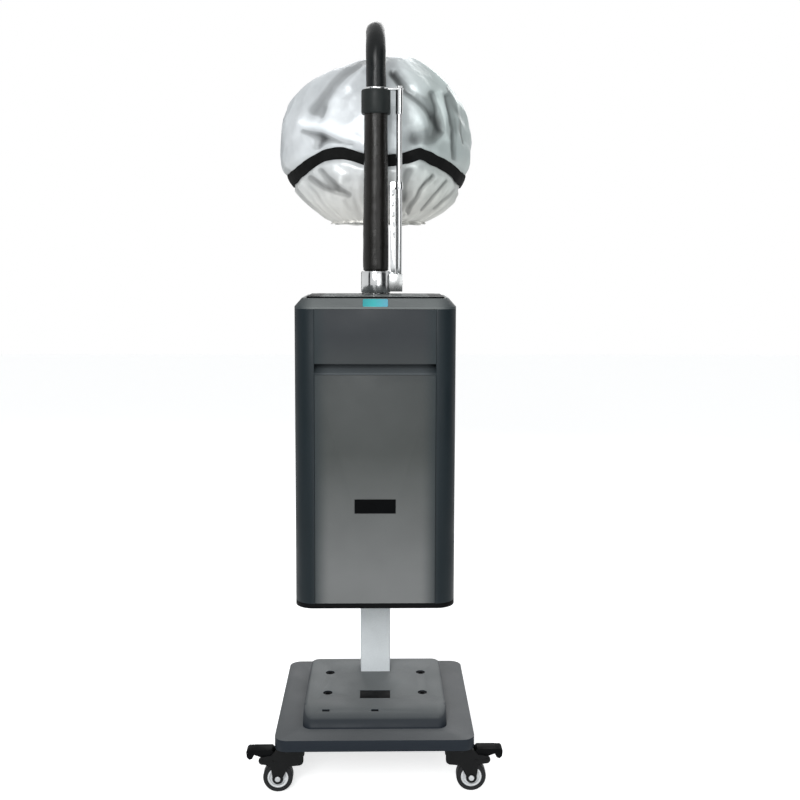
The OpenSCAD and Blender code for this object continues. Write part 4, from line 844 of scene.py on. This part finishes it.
def arch_path(step):
    """Points and directions along the arch, from inside the cap to the hood's ring."""
    path = []

    def straight(start, end):
        count = max(int((end - start).length / step), 1)
        for i in range(count):
            path.append((start.lerp(end, i / count), (end - start).normalized()))

    def quarter(centre, radius, start):
        count = max(int(radius * math.pi / 2 / step), 6)
        for i in range(count):
            angle = math.radians(start) - math.pi / 2 * i / count
            spot = centre + Vector((0, math.cos(angle), math.sin(angle))) * radius
            path.append((spot, Vector((0, math.sin(angle), -math.cos(angle)))))

    near = Vector((0, MAST_Y + BEND_NEAR, APEX - BEND_NEAR))
    far = Vector((0, HOOD_Y - BEND_FAR, APEX - BEND_FAR))
    straight(Vector((0, MAST_Y, DUCT_LOW.z)), Vector((0, MAST_Y, near.z)))
    quarter(near, BEND_NEAR, 180)
    straight(Vector((0, near.y, APEX)), Vector((0, far.y, APEX)))
    quarter(far, BEND_FAR, 90)
    straight(Vector((0, HOOD_Y, far.z)), Vector((0, HOOD_Y, DROP_END)))
    path.append((Vector((0, HOOD_Y, DROP_END)), Vector((0, 0, -1))))
    return path


def make_duct():
    """The insulated arch: foam tube whose skin puckers on the inside of its bends."""
    path = arch_path(DUCT_STEP)
    shape = bmesh.new()
    rim = bmesh.ops.create_circle(shape, segments=DUCT_SIDES, radius=DUCT_R)["verts"]
    rings = [rim]
    edges = list(shape.edges)
    for _ in path[1:]:
        grown = bmesh.ops.extrude_edge_only(shape, edges=edges)["geom"]
        edges = [g for g in grown if isinstance(g, bmesh.types.BMEdge)]
        after = {}
        for v in (g for g in grown if isinstance(g, bmesh.types.BMVert)):
            for e in v.link_edges:
                other = e.other_vert(v)
                if other in rings[-1]:
                    after[other] = v
        rings.append([after[v] for v in rings[-1]])
    length = 0.0
    for index, (spot, along) in enumerate(path):
        if index:
            length += (spot - path[index - 1][0]).length
        side = Vector((1, 0, 0))
        up = side.cross(along)
        for k, v in enumerate(rings[index]):
            angle = 2 * math.pi * k / DUCT_SIDES
            way = side * math.cos(angle) + up * math.sin(angle)
            around = spot + way * DUCT_R
            bent = abs(along.y) * abs(along.z) * 2
            inner = way.dot(NEAR_INSIDE) if around.y < HOOD_Y - NEAR_ENDS else -way.y
            wave = 0.5 + 0.5 * math.sin(length * 620 + 1.5 * math.sin(angle))
            pucker = -0.0016 * bent * max(inner, 0) * wave
            lump = 0.0011 * noise.noise(around * 16) + 0.0006 * noise.noise(around * 42)
            if index < 2 or spot.z < DUCT_LOW.z + 0.03:
                lump = min(lump, 0)
            slit = -0.0011 * math.exp(-abs((math.degrees(angle) - 200 + 180) % 360 - 180) / 3)
            v.co = spot + way * (DUCT_R + min(lump + pucker + slit, DUCT_SLACK))
    bmesh.ops.holes_fill(shape, edges=[e for e in shape.edges if e.is_boundary], sides=0)
    finished("foam_arch", shape, "arch_foam", BODY_OF["arch_duct"], ["arch_duct"], sharp=60)


make_sleeve()
make_duct()


# Cabinet, base and casters: rounded copies of the CAD pieces

# Width of each rounded edge, in millimetres
SOFT_EDGES = {
    "cabinet_shell": 0.8, "front_panel": 1.2, "drawer_front": 1.2, "rear_panel": 0.4, "cabinet_tray": 1.2,
    "base_cover": 1.5, "top_cover": 1.0, "control_glass": 0.5, "indicator_lens": 0.7, "column": 0.6,
    "pad_plugs": 0.8, "riser_cap": 0.9, "collar": 0.8, "swivel_flange": 0.8, "clamp_block": 1.0,
    "clamp_knob": 0.8, "guide_strip": 0.4, "lift_rod": 0.5, "top_bracket": 0.6, "hood_ring": 0.5,
    "power_inlet": 0.5, "power_switch": 0.5, "drain_nozzle": 0.5, "water_tank": 0.8, "column_bolts": 0.4,
}
for side in ("left", "right"):
    SOFT_EDGES["pedal_" + side] = 0.8
    for end in ("front", "rear"):
        SOFT_EDGES[f"fork_{end}_{side}"] = 0.5
        SOFT_EDGES[f"wheel_{end}_{side}"] = 0.6
        SOFT_EDGES[f"axle_{end}_{side}"] = 0.5
for node, width in SOFT_EDGES.items():
    soften(node, width)


# Front badge: a bare black plate on the lower panel

PANEL_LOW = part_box("front_panel")[0]
BADGE = Vector((0.084, 0.0024, 0.029))
BADGE_Z = 0.568
BADGE_RIM = 0.0016
# How far the badge's face lies behind its rim
BADGE_SUNK = 0.0005
# How far its rim stands in front of the panel
BADGE_PROUD = 0.0007


def make_badge():
    """The plate, with its face a little lower than its rim."""
    shape = bmesh.new()
    bmesh.ops.create_cube(shape, size=1)
    bmesh.ops.scale(shape, verts=shape.verts, vec=BADGE)
    front = [f for f in shape.faces if f.normal.y < -0.9]
    bmesh.ops.inset_region(shape, faces=front, thickness=BADGE_RIM, use_even_offset=True)
    bmesh.ops.translate(shape, verts=front[0].verts, vec=(0, BADGE_SUNK, 0))
    bmesh.ops.bevel(shape, geom=list(shape.edges), offset=0.3 * MM, offset_type="OFFSET", affect="EDGES",
                    segments=2, profile=0.5, material=-1, clamp_overlap=True)
    bmesh.ops.translate(shape, verts=shape.verts, vec=(0, PANEL_LOW.y - BADGE_PROUD + BADGE.y / 2, BADGE_Z))
    finished("front_badge", shape, "badge", "stand")


make_badge()
